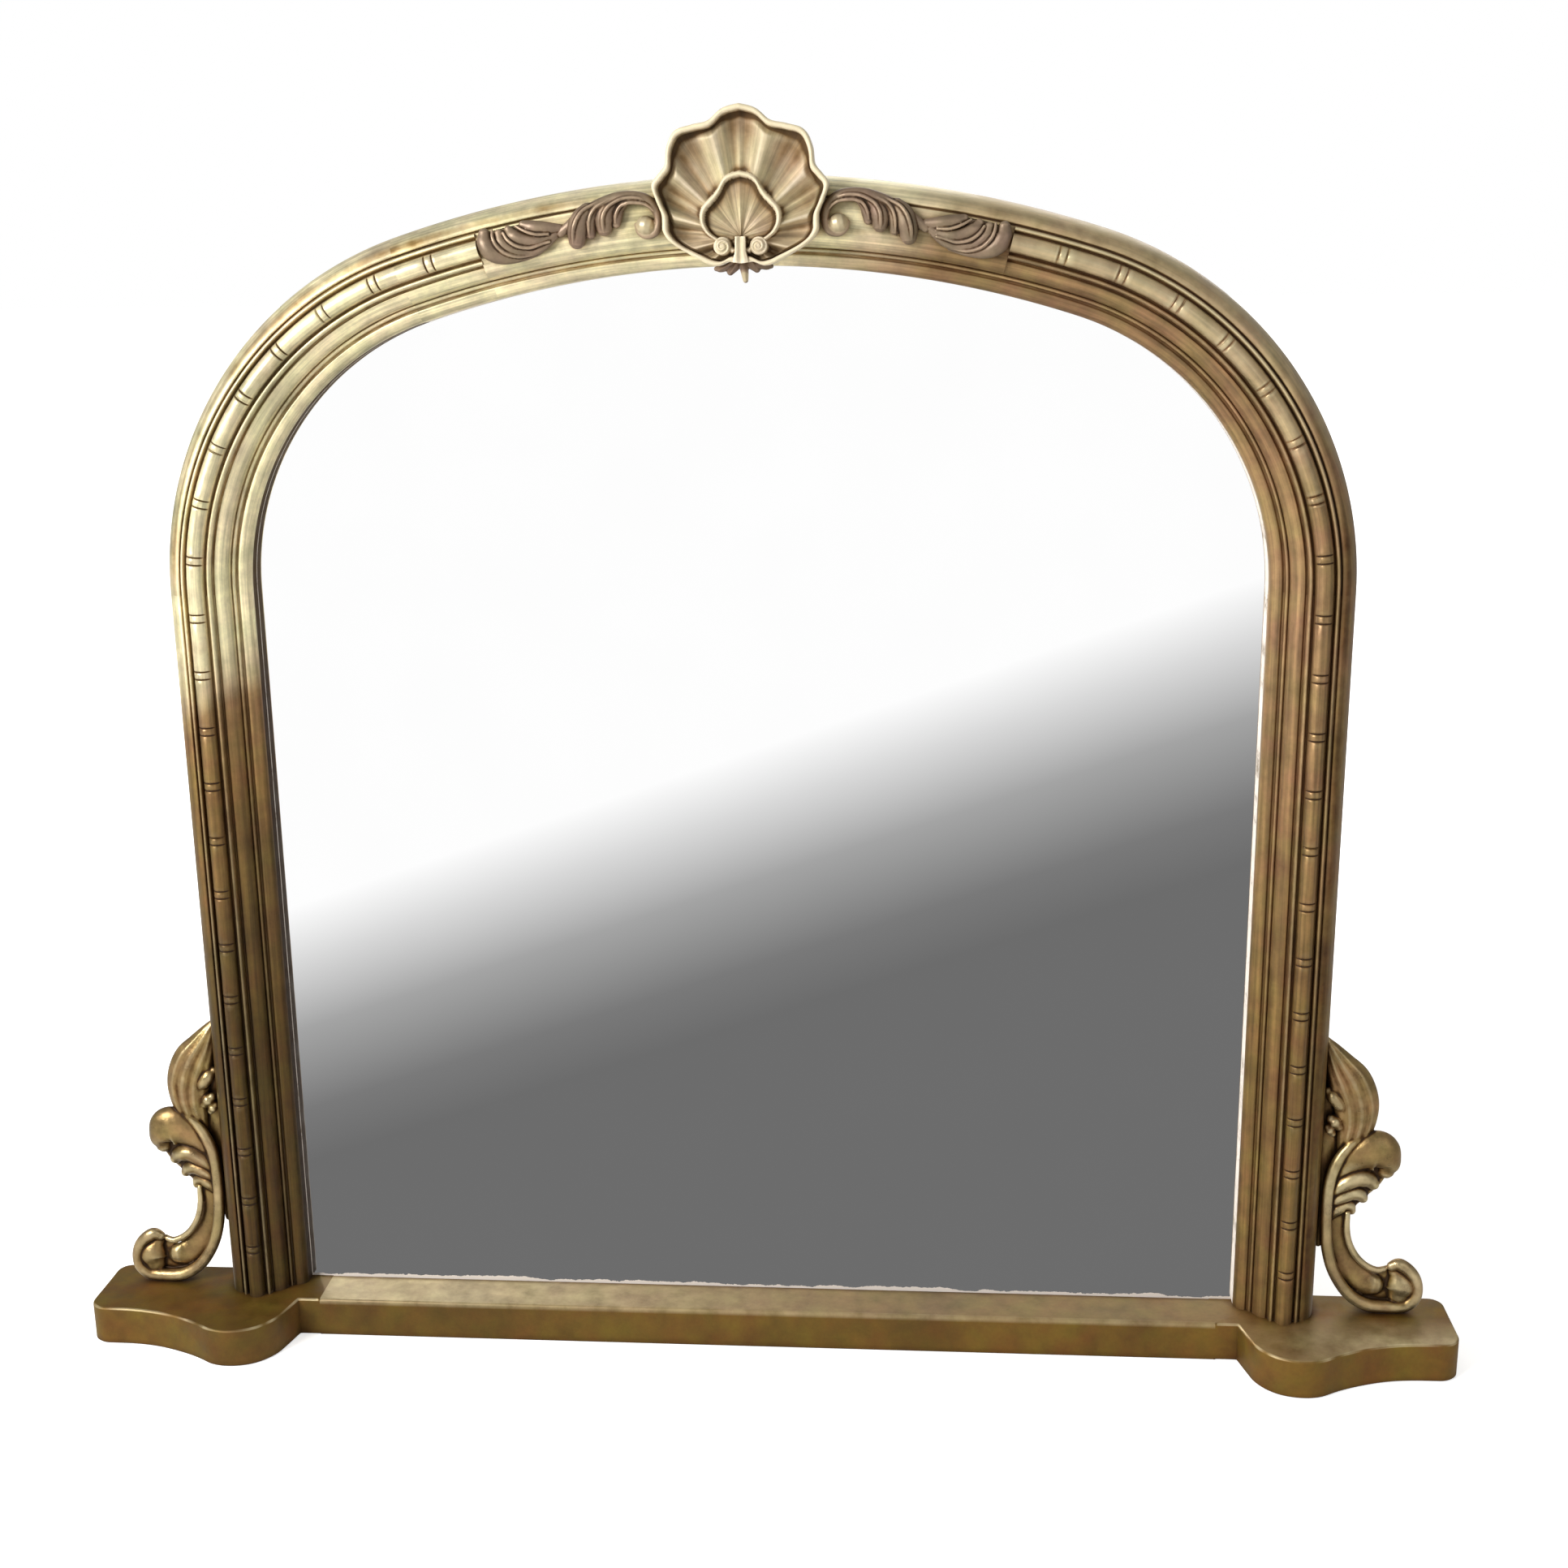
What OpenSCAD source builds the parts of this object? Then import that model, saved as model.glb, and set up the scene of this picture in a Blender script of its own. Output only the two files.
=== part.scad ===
// Arched overmantel mirror: a moulded gilt frame with a shell crest, carved side
// scrolls and a shaped plinth. X runs across, the front faces -Y and Z is up.
// The origin is the middle of the underside of the plinth.

/* [Arch] */
// Half the distance between the bead lines of the two uprights
bead_half = 574; // [550:1:620]
// Height of the springing, where the uprights stop and the arch begins
spring_z = 845; // [600:5:1000]
// Radius of the bead line over each shoulder
shoulder_r = 336; // [290:1:370]
// Radius of the bead line over the crown
crown_r = 1110; // [950:5:1400]

/* [Moulding] */
// Depth of the frame, from the crest of the bead to its back
frame_d = 70; // [66:1:90]
// Width of the moulding outside the bead line
outer_w = 37.5; // [34:0.5:46]
// Width of the moulding inside the bead line, out to the sight edge
inner_w = 49.5; // [47:0.5:54]
// Width of the bead
bead_w = 18; // [15:0.5:20]
// Width of the thin fillet on each side of the bead
fillet_w = 4.5; // [3:0.5:6]
// Width of each quirk between two members of the moulding
quirk_w = 2; // [1.5:0.25:3]
// Depth of the quirks on both sides of the bead
quirk_dep = 2.5; // [1:0.25:4]
// How far the frieze of the crown lies behind the crest of the bead
frieze_dep = 10; // [8:0.5:12]
// Depth at which the outer band turns into the flat outer side
side_dep = 50; // [42:1:58]
// Pitch of the pairs of cuts across the bead
cut_pitch = 60; // [40:1:90]
// Distance between the two cuts of a pair
cut_gap = 8; // [6:0.5:12]
// Width of each cut
cut_w = 1.6; // [1:0.2:2.4]
// Depth of each cut
cut_dep = 0.9; // [0.6:0.1:1.4]

/* [Plinth] */
// Height of the plinth
plinth_h = 44; // [34:1:60]
// Distance from the bead line in to the joint between foot block and rail
foot_inset = 74; // [60:1:100]
// How far a foot block runs out past the side of the upright
foot_reach = 146; // [125:1:175]
// How far the front of the bulge stands out from the rail
bulge_front = 73.5; // [66:0.5:84]
// Radius of the bulge in front of each upright
bulge_r = 52; // [46:1:56]
// How far the outer part of the foot stands out from the rail
nose_front = 32; // [24:1:40]
// Radius of the front corner at each end
nose_r = 22; // [14:1:28]
// Radius of the back corner at each end
heel_r = 16; // [6:1:24]

/* [Glass and back] */
// Thickness of the glass
glass_t = 4; // [3:0.5:6]
// Thickness of the blocks behind the glass
block_t = 5; // [3:0.5:8]
// Thickness of the back boards
board_t = 6; // [4:0.5:9]
// Width of the lip that covers the edge of the glass
lip_w = 8; // [6:0.5:10]
// Width of the ledge that the back boards are pinned to
ledge_w = 13.5; // [10:0.5:16]
// Free space round the edge of the glass
glass_play = 2; // [1:0.5:3]
// Free space round the back boards and between them
board_play = 1; // [0.5:0.25:2]
// How far the glass reaches down behind the rail
glass_drop = 8; // [5:1:12]
// How far the rail's rebate for the boards lies below its rebate for the glass
board_drop = 12; // [10:1:16]

/* [Shell] */
// Radius of the shell from its root to its top
shell_r = 122; // [105:1:135]
// Height of the shell's root above the bead line's crown
shell_root = -22.5; // [-30:0.5:-15]
// Height of the shell's rim above its flat back
shell_rim_h = 22; // [16:0.5:28]

/* [Sprays] */
// Length along the bead line from the middle of the crown to the tip of a spray
spray_len = 262; // [240:1:280]
// Height of the middle of the carved leaves above the frieze
spray_lift = 5; // [2:0.5:6]
// How far the fullest leaves swell from their middle
spray_relief = 14; // [11:0.5:16]

/* [Side scrolls] */
// Height of a side scroll above the foot block
scroll_h = 320; // [290:1:350]
// Thickness of a side scroll
scroll_t = 28; // [22:1:34]
// Depth of the middle of a side scroll behind the crest of the bead
scroll_dep = 42; // [40:1:50]

/* [Fixings] */
// Radius of the dowels
dowel_r = 5; // [3:0.5:6]
// Length of the dowels
dowel_len = 60; // [40:5:80]
// Radius of the shank of the long screws under the uprights
screw_r = 2.5; // [2:0.25:3.5]
// Length of the long screws
screw_len = 100; // [80:5:130]
// Radius of the head of the long screws
screw_head_r = 5.5; // [4.5:0.5:7]
// Radius of the pins of the back boards
pin_r = 1; // [0.7:0.1:1.5]
// Length of the pins
pin_len = 18; // [14:1:24]
// Space between a fixing and its hole, on the radius
fix_play = 0.05; // [0.02:0.01:0.1]

/* [Hangers] */
// Height of the hinge of each hanger ring
ring_z = 780; // [500:5:820]
// Distance of each hanger from the bead line, outwards
hanger_out = 6; // [0:1:12]
// Width of the hanger strap
strap_w = 16; // [12:1:20]
// Length of the hanger strap below the hinge
strap_len = 48; // [44:1:60]
// Thickness of the hanger strap
strap_t = 1.6; // [1.2:0.1:2]
// Radius of the ring's wire
wire_r = 2; // [1.6:0.1:2.4]
// Radius of the straight pin of the ring
ring_pin_r = 1.8; // [1.4:0.1:2]
// Radius of the round end of the ring, to the middle of the wire
ring_r = 12.5; // [11:0.5:16]
// Length of the straight legs of the ring
ring_leg = 6; // [4:0.5:10]
// Thickness of the wall of the hinge eye
eye_wall = 1.75; // [1.4:0.05:2]
// Radius of the shank of the hanger's screws
hanger_screw_r = 2; // [1.5:0.25:2.5]
// Length of the hanger's screws in the wood
hanger_screw_len = 20; // [12:1:26]

/* [Hidden] */
gilt = "#b89a5e";
gilt_dark = "#8f7440";
bronze_gilt = "#8c7358";
deal = "#c8a877";
steel = "#9a9a98";

hb = bead_w / 2;
band_in = hb + fillet_w + 2 * quirk_w;
ovolo_out = band_in;
ovolo_in = ovolo_out + 13.5;
slip_in = ovolo_in + 4;
sight_out = slip_in + 2.5;
glass_dep = frame_d - board_t - block_t - glass_t;
block_dep = glass_dep + glass_t;
board_dep = frame_d - board_t;
// Depths of the members inside the bead, where the section falls to the glass
ovolo_top = frieze_dep + 5;
ovolo_foot = frieze_dep + 20;
sight_top = ovolo_foot + 1;
sight_foot = sight_top + 11;
rebate_in = inner_w - lip_w;
ledge_in = rebate_in - ledge_w;
outer_half = bead_half + outer_w;
back_y = frame_d / 2;
front_y = -frame_d / 2;
frieze_y = front_y + frieze_dep;

shoulder_x = bead_half - shoulder_r;
crown_z = spring_z - sqrt(pow(crown_r - shoulder_r, 2) - pow(shoulder_x, 2));
split_a = atan2(spring_z - crown_z, shoulder_x);
crown_top = crown_z + crown_r;
stop_a = 90 - spray_len / crown_r * 180 / PI;
shoulder_len = shoulder_r * split_a * PI / 180;
crown_half_len = crown_r * (90 - split_a) * PI / 180;

rail_half = bead_half - foot_inset;
seat_z = plinth_h - glass_drop - glass_play;
board_z = seat_z - board_drop;

eye_r = ring_pin_r + fix_play + eye_wall;
ring_y = back_y + max(eye_r, strap_t + wire_r) + 0.4;
hanger_x = bead_half + hanger_out;
hanger_screw_z = [ring_z - 0.6 * strap_len, ring_z - 0.88 * strap_len];

root_z = crown_top + shell_root;
shell_steps = 120;
carve_sides = 9;
// Distance from the springing down to the first pair of cuts
cut_start = 0.38 * cut_pitch;

// Points along an ellipse from angle a0 to a1
function arc(cx, cy, rx, ry, a0, a1, n) =
  [for (i = [0:n]) let (a = a0 + (a1 - a0) * i / n) [cx + rx * cos(a), cy + ry * sin(a)]];

function smooth(t) = let (c = min(1, max(0, t))) c * c * (3 - 2 * c);

// The outer side and outer band of the moulding, as [distance out, depth]
outer_band = concat(
  [[outer_w, frame_d]],
  arc(band_in, side_dep, outer_w - band_in, side_dep - frieze_dep, 0, -90, 10)
);

// A square quirk from one distance to the next, its bottom at the given depth
function quirk(from, to, dep) = [[from, dep], [to, dep]];
quirk_foot = frieze_dep + quirk_dep;
band_quirk = quirk(band_in, band_in - quirk_w, quirk_foot);

// The bead with a fillet on each side
bead_members = concat(
  arc(hb + quirk_w + fillet_w / 2, frieze_dep, fillet_w / 2, 4, 0, -180, 4),
  quirk(hb + quirk_w, hb, quirk_foot),
  arc(0, frieze_dep, hb, frieze_dep, 0, -180, 10),
  quirk(-hb, -hb - quirk_w, quirk_foot),
  arc(-hb - quirk_w - fillet_w / 2, frieze_dep + 1.5, fillet_w / 2, 3.5, 0, -180, 4),
  quirk(-hb - quirk_w - fillet_w, -ovolo_out, ovolo_top + 2)
);

// The wide ovolo, whose top lies at the given depth
function ovolo(top) = arc(-ovolo_out, ovolo_foot, ovolo_in - ovolo_out, ovolo_foot - top, -90, -180, 6);

// The thin slip, the sloping sight band, the lip and the two rebates
inner_band = concat(
  arc(-ovolo_in - 2, ovolo_foot, 2, 2, 0, -180, 4),
  [[-slip_in, sight_top + 2], [-sight_out, sight_top + 2]],
  arc(-sight_out, sight_foot, inner_w - sight_out, sight_foot - sight_top, -90, -180, 5),
  [[-inner_w, glass_dep],
   [-rebate_in, glass_dep],
   [-rebate_in, board_dep],
   [-ledge_in, board_dep],
   [-ledge_in, frame_d]]
);

moulded = concat(outer_band, band_quirk, bead_members, ovolo(ovolo_top), inner_band);
plain = concat(outer_band, band_quirk, [[band_in - quirk_w, frieze_dep]], ovolo(frieze_dep), inner_band);

// Turns [distance out, depth] into the section that is swept round a radius
function swept(points, radius) = [for (p = points) [radius + p[0], back_y - p[1]]];

// A section swept about the axis at [x, z] from angle a0 to a1, in the XZ plane
module sweep_arc(points, radius, x, z, a0, a1, steps = 180) {
  translate([x, 0, z])
    rotate([90, -a0, 0])
      rotate_extrude(angle = a1 - a0, $fn = steps)
        polygon(swept(points, radius));
}

// Puts its child at an angle on the bead line of an arc, its Z along the moulding
module on_arc(radius, x, z, a) {
  translate([x, 0, z])
    rotate([0, -a, 0])
      translate([radius, 0, 0])
        children();
}

// One cut across the bead
module bead_cut() {
  bottom = arc(0, frieze_dep, hb - cut_dep, frieze_dep - cut_dep, -10, -170, 10);
  top = arc(0, frieze_dep, hb + 1, frieze_dep + 1, -170, -10, 10);
  linear_extrude(height = cut_w, center = true)
    polygon([for (p = concat(bottom, top)) [p[0], p[1] + front_y]]);
}

// A pair of cuts, half the gap to each side
module cut_pair() {
  for (side = [-1, 1])
    translate([0, 0, side * cut_gap / 2])
      bead_cut();
}

// The outline of the arch at a distance out from the bead line, down to z_low
function arch_outline(out, z_low) = concat(
  [[bead_half + out, z_low]],
  arc(shoulder_x, spring_z, shoulder_r + out, shoulder_r + out, 0, split_a, 24),
  arc(0, crown_z, crown_r + out, crown_r + out, split_a, 180 - split_a, 24),
  arc(-shoulder_x, spring_z, shoulder_r + out, shoulder_r + out, 180 - split_a, 180, 24),
  [[-bead_half - out, z_low]]
);

// A flat panel in the shape of the arch between two depths
module arch_panel(out, z_low, dep, t) {
  translate([0, dep + t - frame_d / 2, 0])
    rotate([90, 0, 0])
      linear_extrude(height = t)
        polygon(arch_outline(out, z_low));
}

// Dowel places, as [distance out, depth]
dowel_dep = 0.67 * frame_d;
dowel_spots = [[-0.2 * inner_w, dowel_dep], [0.59 * outer_w, dowel_dep]];
// Long screw places in an upright, as [distance out, depth]
screw_spots = [[-0.16 * inner_w, 0.6 * frame_d], [0.64 * outer_w, 0.71 * frame_d]];
screw_head_z = 0.18 * plinth_h;
screw_head_t = 0.64 * screw_head_r;
rail_dowel_deps = [0.23 * frame_d, 0.63 * frame_d];
rail_dowel_z = 0.41 * plinth_h;
upright_pins = [for (i = [0:3]) plinth_h + (spring_z - plinth_h) * (0.12 + 0.25 * i)];
pin_out = -ledge_in - ledge_w / 2;
rail_pins = [-0.9, -0.6, -0.2, 0.2, 0.6, 0.9];

module dowel(extra) {
  cylinder(r = dowel_r + extra, h = dowel_len + 2 * extra, center = true, $fn = 48);
}

// The dowels of one springing joint and one crown joint
module arch_dowel_set(extra) {
  for (s = dowel_spots) {
    translate([bead_half + s[0], s[1] - back_y, spring_z])
      dowel(extra);
    on_arc(crown_r, 0, crown_z, split_a)
      translate([s[0], s[1] - back_y, 0])
        dowel(extra);
  }
}

module pin(extra) {
  translate([0, back_y, 0])
    rotate([90, 0, 0])
      translate([0, 0, -extra])
        cylinder(r = pin_r + extra, h = pin_len + 2 * extra, $fn = 24);
}

// Pins along one upright, one shoulder and half of the crown
module frame_pins(extra) {
  for (z = upright_pins)
    translate([bead_half + pin_out, 0, z])
      pin(extra);
  for (i = [0:2])
    on_arc(shoulder_r, shoulder_x, spring_z, split_a * (0.15 + 0.35 * i))
      translate([pin_out, 0, 0])
        pin(extra);
  for (s = [0.14, 0.42, 0.85])
    on_arc(crown_r, 0, crown_z, 90 - s * (90 - split_a))
      translate([pin_out, 0, 0])
        pin(extra);
}

module rail_pin_set(extra) {
  for (s = rail_pins)
    translate([s * rail_half, 0, board_z + board_drop / 2])
      pin(extra);
}

// Long screws up through a foot block into the upright, head down
module long_screws() {
  for (s = screw_spots)
    translate([bead_half + s[0], s[1] - back_y, screw_head_z]) {
      cylinder(r = screw_r, h = screw_len, $fn = 32);
      translate([0, 0, -screw_head_t])
        cylinder(r = screw_head_r, h = screw_head_t, $fn = 32);
    }
}

module long_screw_holes() {
  for (s = screw_spots)
    translate([bead_half + s[0], s[1] - back_y, 0]) {
      translate([0, 0, screw_head_z])
        cylinder(r = screw_r + fix_play, h = screw_len + 2, $fn = 32);
      translate([0, 0, -1])
        cylinder(r = screw_head_r + 1, h = screw_head_z + 1, $fn = 32);
    }
}

module hanger_screw_holes(y0, y1, r) {
  for (z = hanger_screw_z)
    translate([hanger_x, y1, z])
      rotate([90, 0, 0])
        cylinder(r = r, h = y1 - y0, $fn = 24);
}

// ---- frame ----

module upright_bar() {
  translate([0, 0, plinth_h])
    linear_extrude(height = spring_z - plinth_h)
      polygon([for (p = moulded) [bead_half + p[0], p[1] - back_y]]);
}

module upright() {
  difference() {
    upright_bar();
    for (z = [spring_z - cut_start : -cut_pitch : plinth_h + 2 * cut_gap])
      translate([bead_half, 0, z])
        cut_pair();
    arch_dowel_set(fix_play);
    frame_pins(fix_play);
    long_screw_holes();
    hanger_screw_holes(back_y - hanger_screw_len, back_y + 1, hanger_screw_r + fix_play);
  }
}

// Length along the bead line from the springing to the first pair above it
first_cut = cut_pitch - cut_start;

module shoulder() {
  difference() {
    sweep_arc(moulded, shoulder_r, shoulder_x, spring_z, 0, split_a);
    for (s = [first_cut : cut_pitch : shoulder_len - cut_gap])
      on_arc(shoulder_r, shoulder_x, spring_z, s / shoulder_r * 180 / PI)
        cut_pair();
    arch_dowel_set(fix_play);
    frame_pins(fix_play);
  }
}

module crown() {
  first = cut_pitch * ceil((shoulder_len + cut_gap - first_cut) / cut_pitch) + first_cut - shoulder_len;
  difference() {
    union() {
      sweep_arc(plain, crown_r, 0, crown_z, stop_a, 180 - stop_a);
      sweep_arc(moulded, crown_r, 0, crown_z, split_a, stop_a);
      sweep_arc(moulded, crown_r, 0, crown_z, 180 - stop_a, 180 - split_a);
    }
    for (m = [0, 1])
      mirror([m, 0, 0]) {
        for (s = [first : cut_pitch : crown_half_len - spray_len - cut_gap])
          on_arc(crown_r, 0, crown_z, split_a + s / crown_r * 180 / PI)
            cut_pair();
        arch_dowel_set(fix_play);
        frame_pins(fix_play);
      }
  }
}

// ---- plinth ----

// Rebates in the plinth for the foot of the glass and of the back boards
module plinth_rebates() {
  glass_half = bead_half - rebate_in;
  boards_half = bead_half - ledge_in;
  translate([-glass_half, glass_dep - back_y, seat_z])
    cube([2 * glass_half, frame_d - glass_dep + 1, plinth_h]);
  translate([-boards_half, board_dep - back_y, board_z])
    cube([2 * boards_half, board_t + 1, plinth_h]);
}

module rail_dowel_set(extra) {
  for (dep = rail_dowel_deps)
    translate([rail_half, dep - back_y, rail_dowel_z])
      rotate([0, 90, 0])
        dowel(extra);
}

module rail_body() {
  difference() {
    translate([-rail_half, front_y, 0])
      cube([2 * rail_half, frame_d, plinth_h]);
    plinth_rebates();
    rail_dowel_set(fix_play);
    mirror([1, 0, 0])
      rail_dowel_set(fix_play);
    rail_pin_set(fix_play);
  }
}

// Plan of a foot block: a serpentine front with a bulge before the upright
module foot_plan() {
  bulge_x = bead_half + 0.19 * bulge_r;
  bulge_y = front_y - bulge_front + bulge_r;
  end_x = outer_half + foot_reach;
  corner_x = bead_half - 0.96 * bulge_r;
  // The straight flank touches the bulge
  reach = norm([corner_x - bulge_x, front_y - bulge_y]);
  flank_a = atan2(front_y - bulge_y, corner_x - bulge_x) + acos(bulge_r / reach);
  // A hollow arc joins the bulge to the straight nose without a break
  hollow_x = end_x - 1.6 * nose_r;
  rise = nose_front - bulge_front + bulge_r;
  run = hollow_x - bulge_x;
  hollow_r = (run * run + rise * rise - bulge_r * bulge_r) / (2 * (bulge_r - rise));
  hollow_y = front_y - nose_front - hollow_r;
  join_a = atan2(hollow_y - bulge_y, hollow_x - bulge_x);
  polygon(concat(
    [[rail_half, back_y], [rail_half, front_y], [corner_x, front_y]],
    arc(bulge_x, bulge_y, bulge_r, bulge_r, flank_a, 360 + join_a, 20),
    arc(hollow_x, hollow_y, hollow_r, hollow_r, 180 + join_a, 90, 10),
    arc(end_x - nose_r, front_y - nose_front + nose_r, nose_r, nose_r, -90, 0, 10),
    arc(end_x - heel_r, back_y - heel_r, heel_r, heel_r, 0, 90, 8)
  ));
}

module foot_block() {
  difference() {
    linear_extrude(height = plinth_h)
      foot_plan();
    plinth_rebates();
    rail_dowel_set(fix_play);
    long_screw_holes();
  }
}

// ---- carving ----

// A ball whose depth lies between its own radius and the full relief of the carving
module carve_ball(p, relief) {
  depth = min(relief, (p[2] + relief) / 2);
  translate([p[0], 0, p[1]])
    scale([1, depth / p[2], 1])
      sphere(r = p[2], $fn = carve_sides);
}

// A tapering lobe through points given as [across, up, radius]
module lobe(points, relief) {
  for (i = [0:len(points) - 2])
    hull() {
      carve_ball(points[i], relief);
      carve_ball(points[i + 1], relief);
    }
}

// The parts of the right side scroll, from the inner corner of foot block and upright
scroll_lobes = [
  // stem, from under the volute up to the side of the upright
  [[88, 15, 15], [69, 22, 20], [51, 33, 21], [34, 50, 21], [23, 73, 20], [18, 98, 18], [20, 122, 18], [26, 146, 17]],
  // outer turn of the volute, and its eye
  [[88, 13, 13], [101, 20, 12], [104, 33, 11], [98, 47, 11], [87, 53, 10], [79, 44, 9]],
  [[90, 31, 9], [91, 30, 9]],
  // lobes that step out to the tip of the lower leaf
  [[21, 100, 12], [30, 113, 9], [36, 119, 7]],
  [[21, 112, 13], [37, 132, 11], [49, 138, 8]],
  [[23, 126, 14], [43, 150, 12], [59, 154, 9]],
  [[25, 150, 14], [47, 178, 18], [65, 184, 20]],
  // upper leaf with its tip against the upright
  [[17, 165, 8], [34, 190, 10], [43, 214, 12], [42, 240, 17], [39, 258, 20], [27, 280, 18], [16, 296, 13], [5, 311, 7]],
  // small lobes on its inner side
  [[28, 212, 9], [15, 222, 7], [9, 228, 5]],
  [[28, 230, 9], [15, 242, 7], [8, 250, 5]],
  [[26, 250, 9], [14, 260, 7], [7, 268, 5]]
];
// Thin ground behind the lobes, along the upright and inside the volute
scroll_ground = [
  [[9, 78, 10], [10, 150, 10], [13, 190, 12], [15, 240, 14], [13, 270, 12], [6, 296, 7]],
  [[77, 30, 18], [92, 32, 20]]
];
scroll_h_drawn = 318;

// The carving is flat behind and below, and is cut to fit the side of the upright
module side_scroll() {
  grow = scroll_h / scroll_h_drawn;
  front = 0.62 * scroll_t;
  difference() {
    translate([outer_half, scroll_dep - back_y, plinth_h])
      intersection() {
        union() {
          for (points = scroll_lobes)
            lobe([for (p = points) [p[0], p[1] * grow, p[2]]], front);
          for (points = scroll_ground)
            lobe([for (p = points) [p[0], p[1] * grow, p[2]]], scroll_t - front);
        }
        translate([-outer_w, -scroll_t, 0])
          cube([outer_w + foot_reach, 2 * scroll_t - front, scroll_h]);
      }
    upright_bar();
  }
}

// The parts of the right spray, as [share of its length, distance out, radius]
spray_lobes = [
  // volute beside the shell and the stem that rises from it
  [[0.385, -14, 3], [0.355, -15, 4], [0.325, -10, 4.5], [0.318, -2, 5], [0.335, 8, 5], [0.365, 15, 6], [0.41, 19, 7],
   [0.47, 20, 8], [0.53, 17, 8], [0.59, 11, 8], [0.64, 4, 7], [0.69, -3, 6]],
  [[0.36, -5, 7], [0.361, -5, 7]],
  // fingers that hang from the stem
  [[0.43, 15, 5], [0.445, 7, 6], [0.45, 0, 5]],
  [[0.46, 17, 7], [0.48, 4, 7], [0.485, -5, 6]],
  [[0.51, 15, 8], [0.535, 0, 8], [0.545, -9, 6]],
  [[0.56, 10, 8], [0.595, -4, 9], [0.615, -16, 7]],
  [[0.61, 6, 7], [0.645, -4, 6], [0.655, -10, 5]],
  // outer crescent leaf with its tip turned up
  [[0.67, 0, 6], [0.72, -7, 7], [0.78, -13, 8], [0.85, -16, 8], [0.91, -13, 9], [0.955, -4, 9], [0.965, 6, 8], [0.952, 16, 5]],
  // crescents nested inside it
  [[0.69, 1, 6], [0.76, -4, 7], [0.83, -5, 7], [0.885, 1, 6], [0.9, 12, 4]],
  [[0.68, 4, 5], [0.74, 4, 7], [0.79, 6, 6], [0.825, 14, 4]]
];

module spray() {
  difference() {
    for (points = spray_lobes)
      lobe_on_crown([for (p = points) [p[0] * spray_len / crown_r * 180 / PI, p[1], p[2]]]);
    translate([0, frieze_y, crown_z])
      cube([2 * crown_r, frame_d, 2 * crown_r]);
  }
}

// A lobe whose points are given as [angle from the top, distance out, radius]
module lobe_on_crown(points) {
  translate([0, frieze_y - spray_lift, crown_z])
    lobe([for (p = points)
      [(crown_r + p[1]) * sin(p[0]), (crown_r + p[1]) * cos(p[0]), p[2]]], spray_relief);
}

// ---- shell ----

// Number of flutes passed at an angle from the top, which narrow towards the sides
function flute(a) = (35.6 - sqrt(max(0, pow(35.6, 2) - 10.4 * a))) / 5.2;
function ridge(a) = (1 - cos(360 * min(3, flute(a)))) / 2;
function bump(a, middle, width) = exp(-pow((a - middle) / width, 2));
function shell_edge(a) =
  shell_r * (0.6 + 0.4 * cos(a)) * (1 - 0.08 * ridge(a)) * (1 - 0.1 * bump(a, 112, 12));
// Outline of the small bell in the middle, rounded at the top and drawn in below
function bell_edge(a) =
  min(shell_edge(a) - 14,
      shell_r * (0.131 + 0.212 * smooth(1 - (a - 50) / 70) + 0.123 * bump(a, 0, 24)));

// A round boss of the given radius and height on the surface
function boss(x, z, cx, cz, r, h) =
  let (q = 1 - (pow(x - cx, 2) + pow(z - cz, 2)) / (r * r)) q > 0 ? h * sqrt(q) : 0;

function with_bosses(x, z, h) =
  max(h,
      boss(x, z, 0.15 * shell_r, -0.06 * shell_r, 0.085 * shell_r, shell_rim_h + 3),
      boss(x, z, -0.15 * shell_r, -0.06 * shell_r, 0.085 * shell_r, shell_rim_h + 3),
      boss(x, z, 0, -0.08 * shell_r, 0.08 * shell_r, shell_rim_h + 1));

// Rings of the shell at an angle from the top, as [radius, height above the back]
function shell_rings(a) =
  let (e = shell_edge(a), b = bell_edge(a), rr = ridge(a), w = e - 8 - b - 3, s = shell_rim_h)
  [[e, 0], [e, s - 9], [e - 1.5, s - 2], [e - 4, s], [e - 6.5, s - 3], [e - 8, s - 14 + 4 * rr],
   [b + 3 + 0.8 * w, s - 16 + 10 * rr],
   [b + 3 + 0.45 * w, s - 14 + 8 * rr],
   [b + 3, s - 11 + 4 * rr],
   [b, s - 1], [b - 3, s - 8],
   [0.7 * b, s - 9 + 3 * cos(3 * a)],
   [0.35 * b, s - 5 + 2 * cos(3 * a)]];

module shell() {
  count = len(shell_rings(0));
  points = [for (i = [0:shell_steps - 1])
    let (t = 360 * i / shell_steps, a = t > 180 ? 360 - t : t, rings = shell_rings(a))
      for (g = rings)
        let (x = g[0] * sin(t), z = g[0] * cos(t), h = g[1] > 0 ? with_bosses(x, z, g[1]) : 0)
          [x, -h, z]];
  back = len(points);
  faces = concat(
    [for (i = [0:shell_steps - 1]) let (j = (i + 1) % shell_steps)
      for (k = [0:count - 2], half = [0, 1])
        half == 0
          ? [i * count + k, j * count + k, i * count + k + 1]
          : [j * count + k, j * count + k + 1, i * count + k + 1]],
    [for (i = [0:shell_steps - 1]) let (j = (i + 1) % shell_steps)
      [i * count + count - 1, j * count + count - 1, back + 1]],
    [for (i = [0:shell_steps - 1]) let (j = (i + 1) % shell_steps)
      [j * count, i * count, back]]
  );
  translate([0, frieze_y, root_z])
    polyhedron(concat(points, [[0, 0, 0], [0, -shell_rim_h + 3, 0]]), faces);
}

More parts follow.
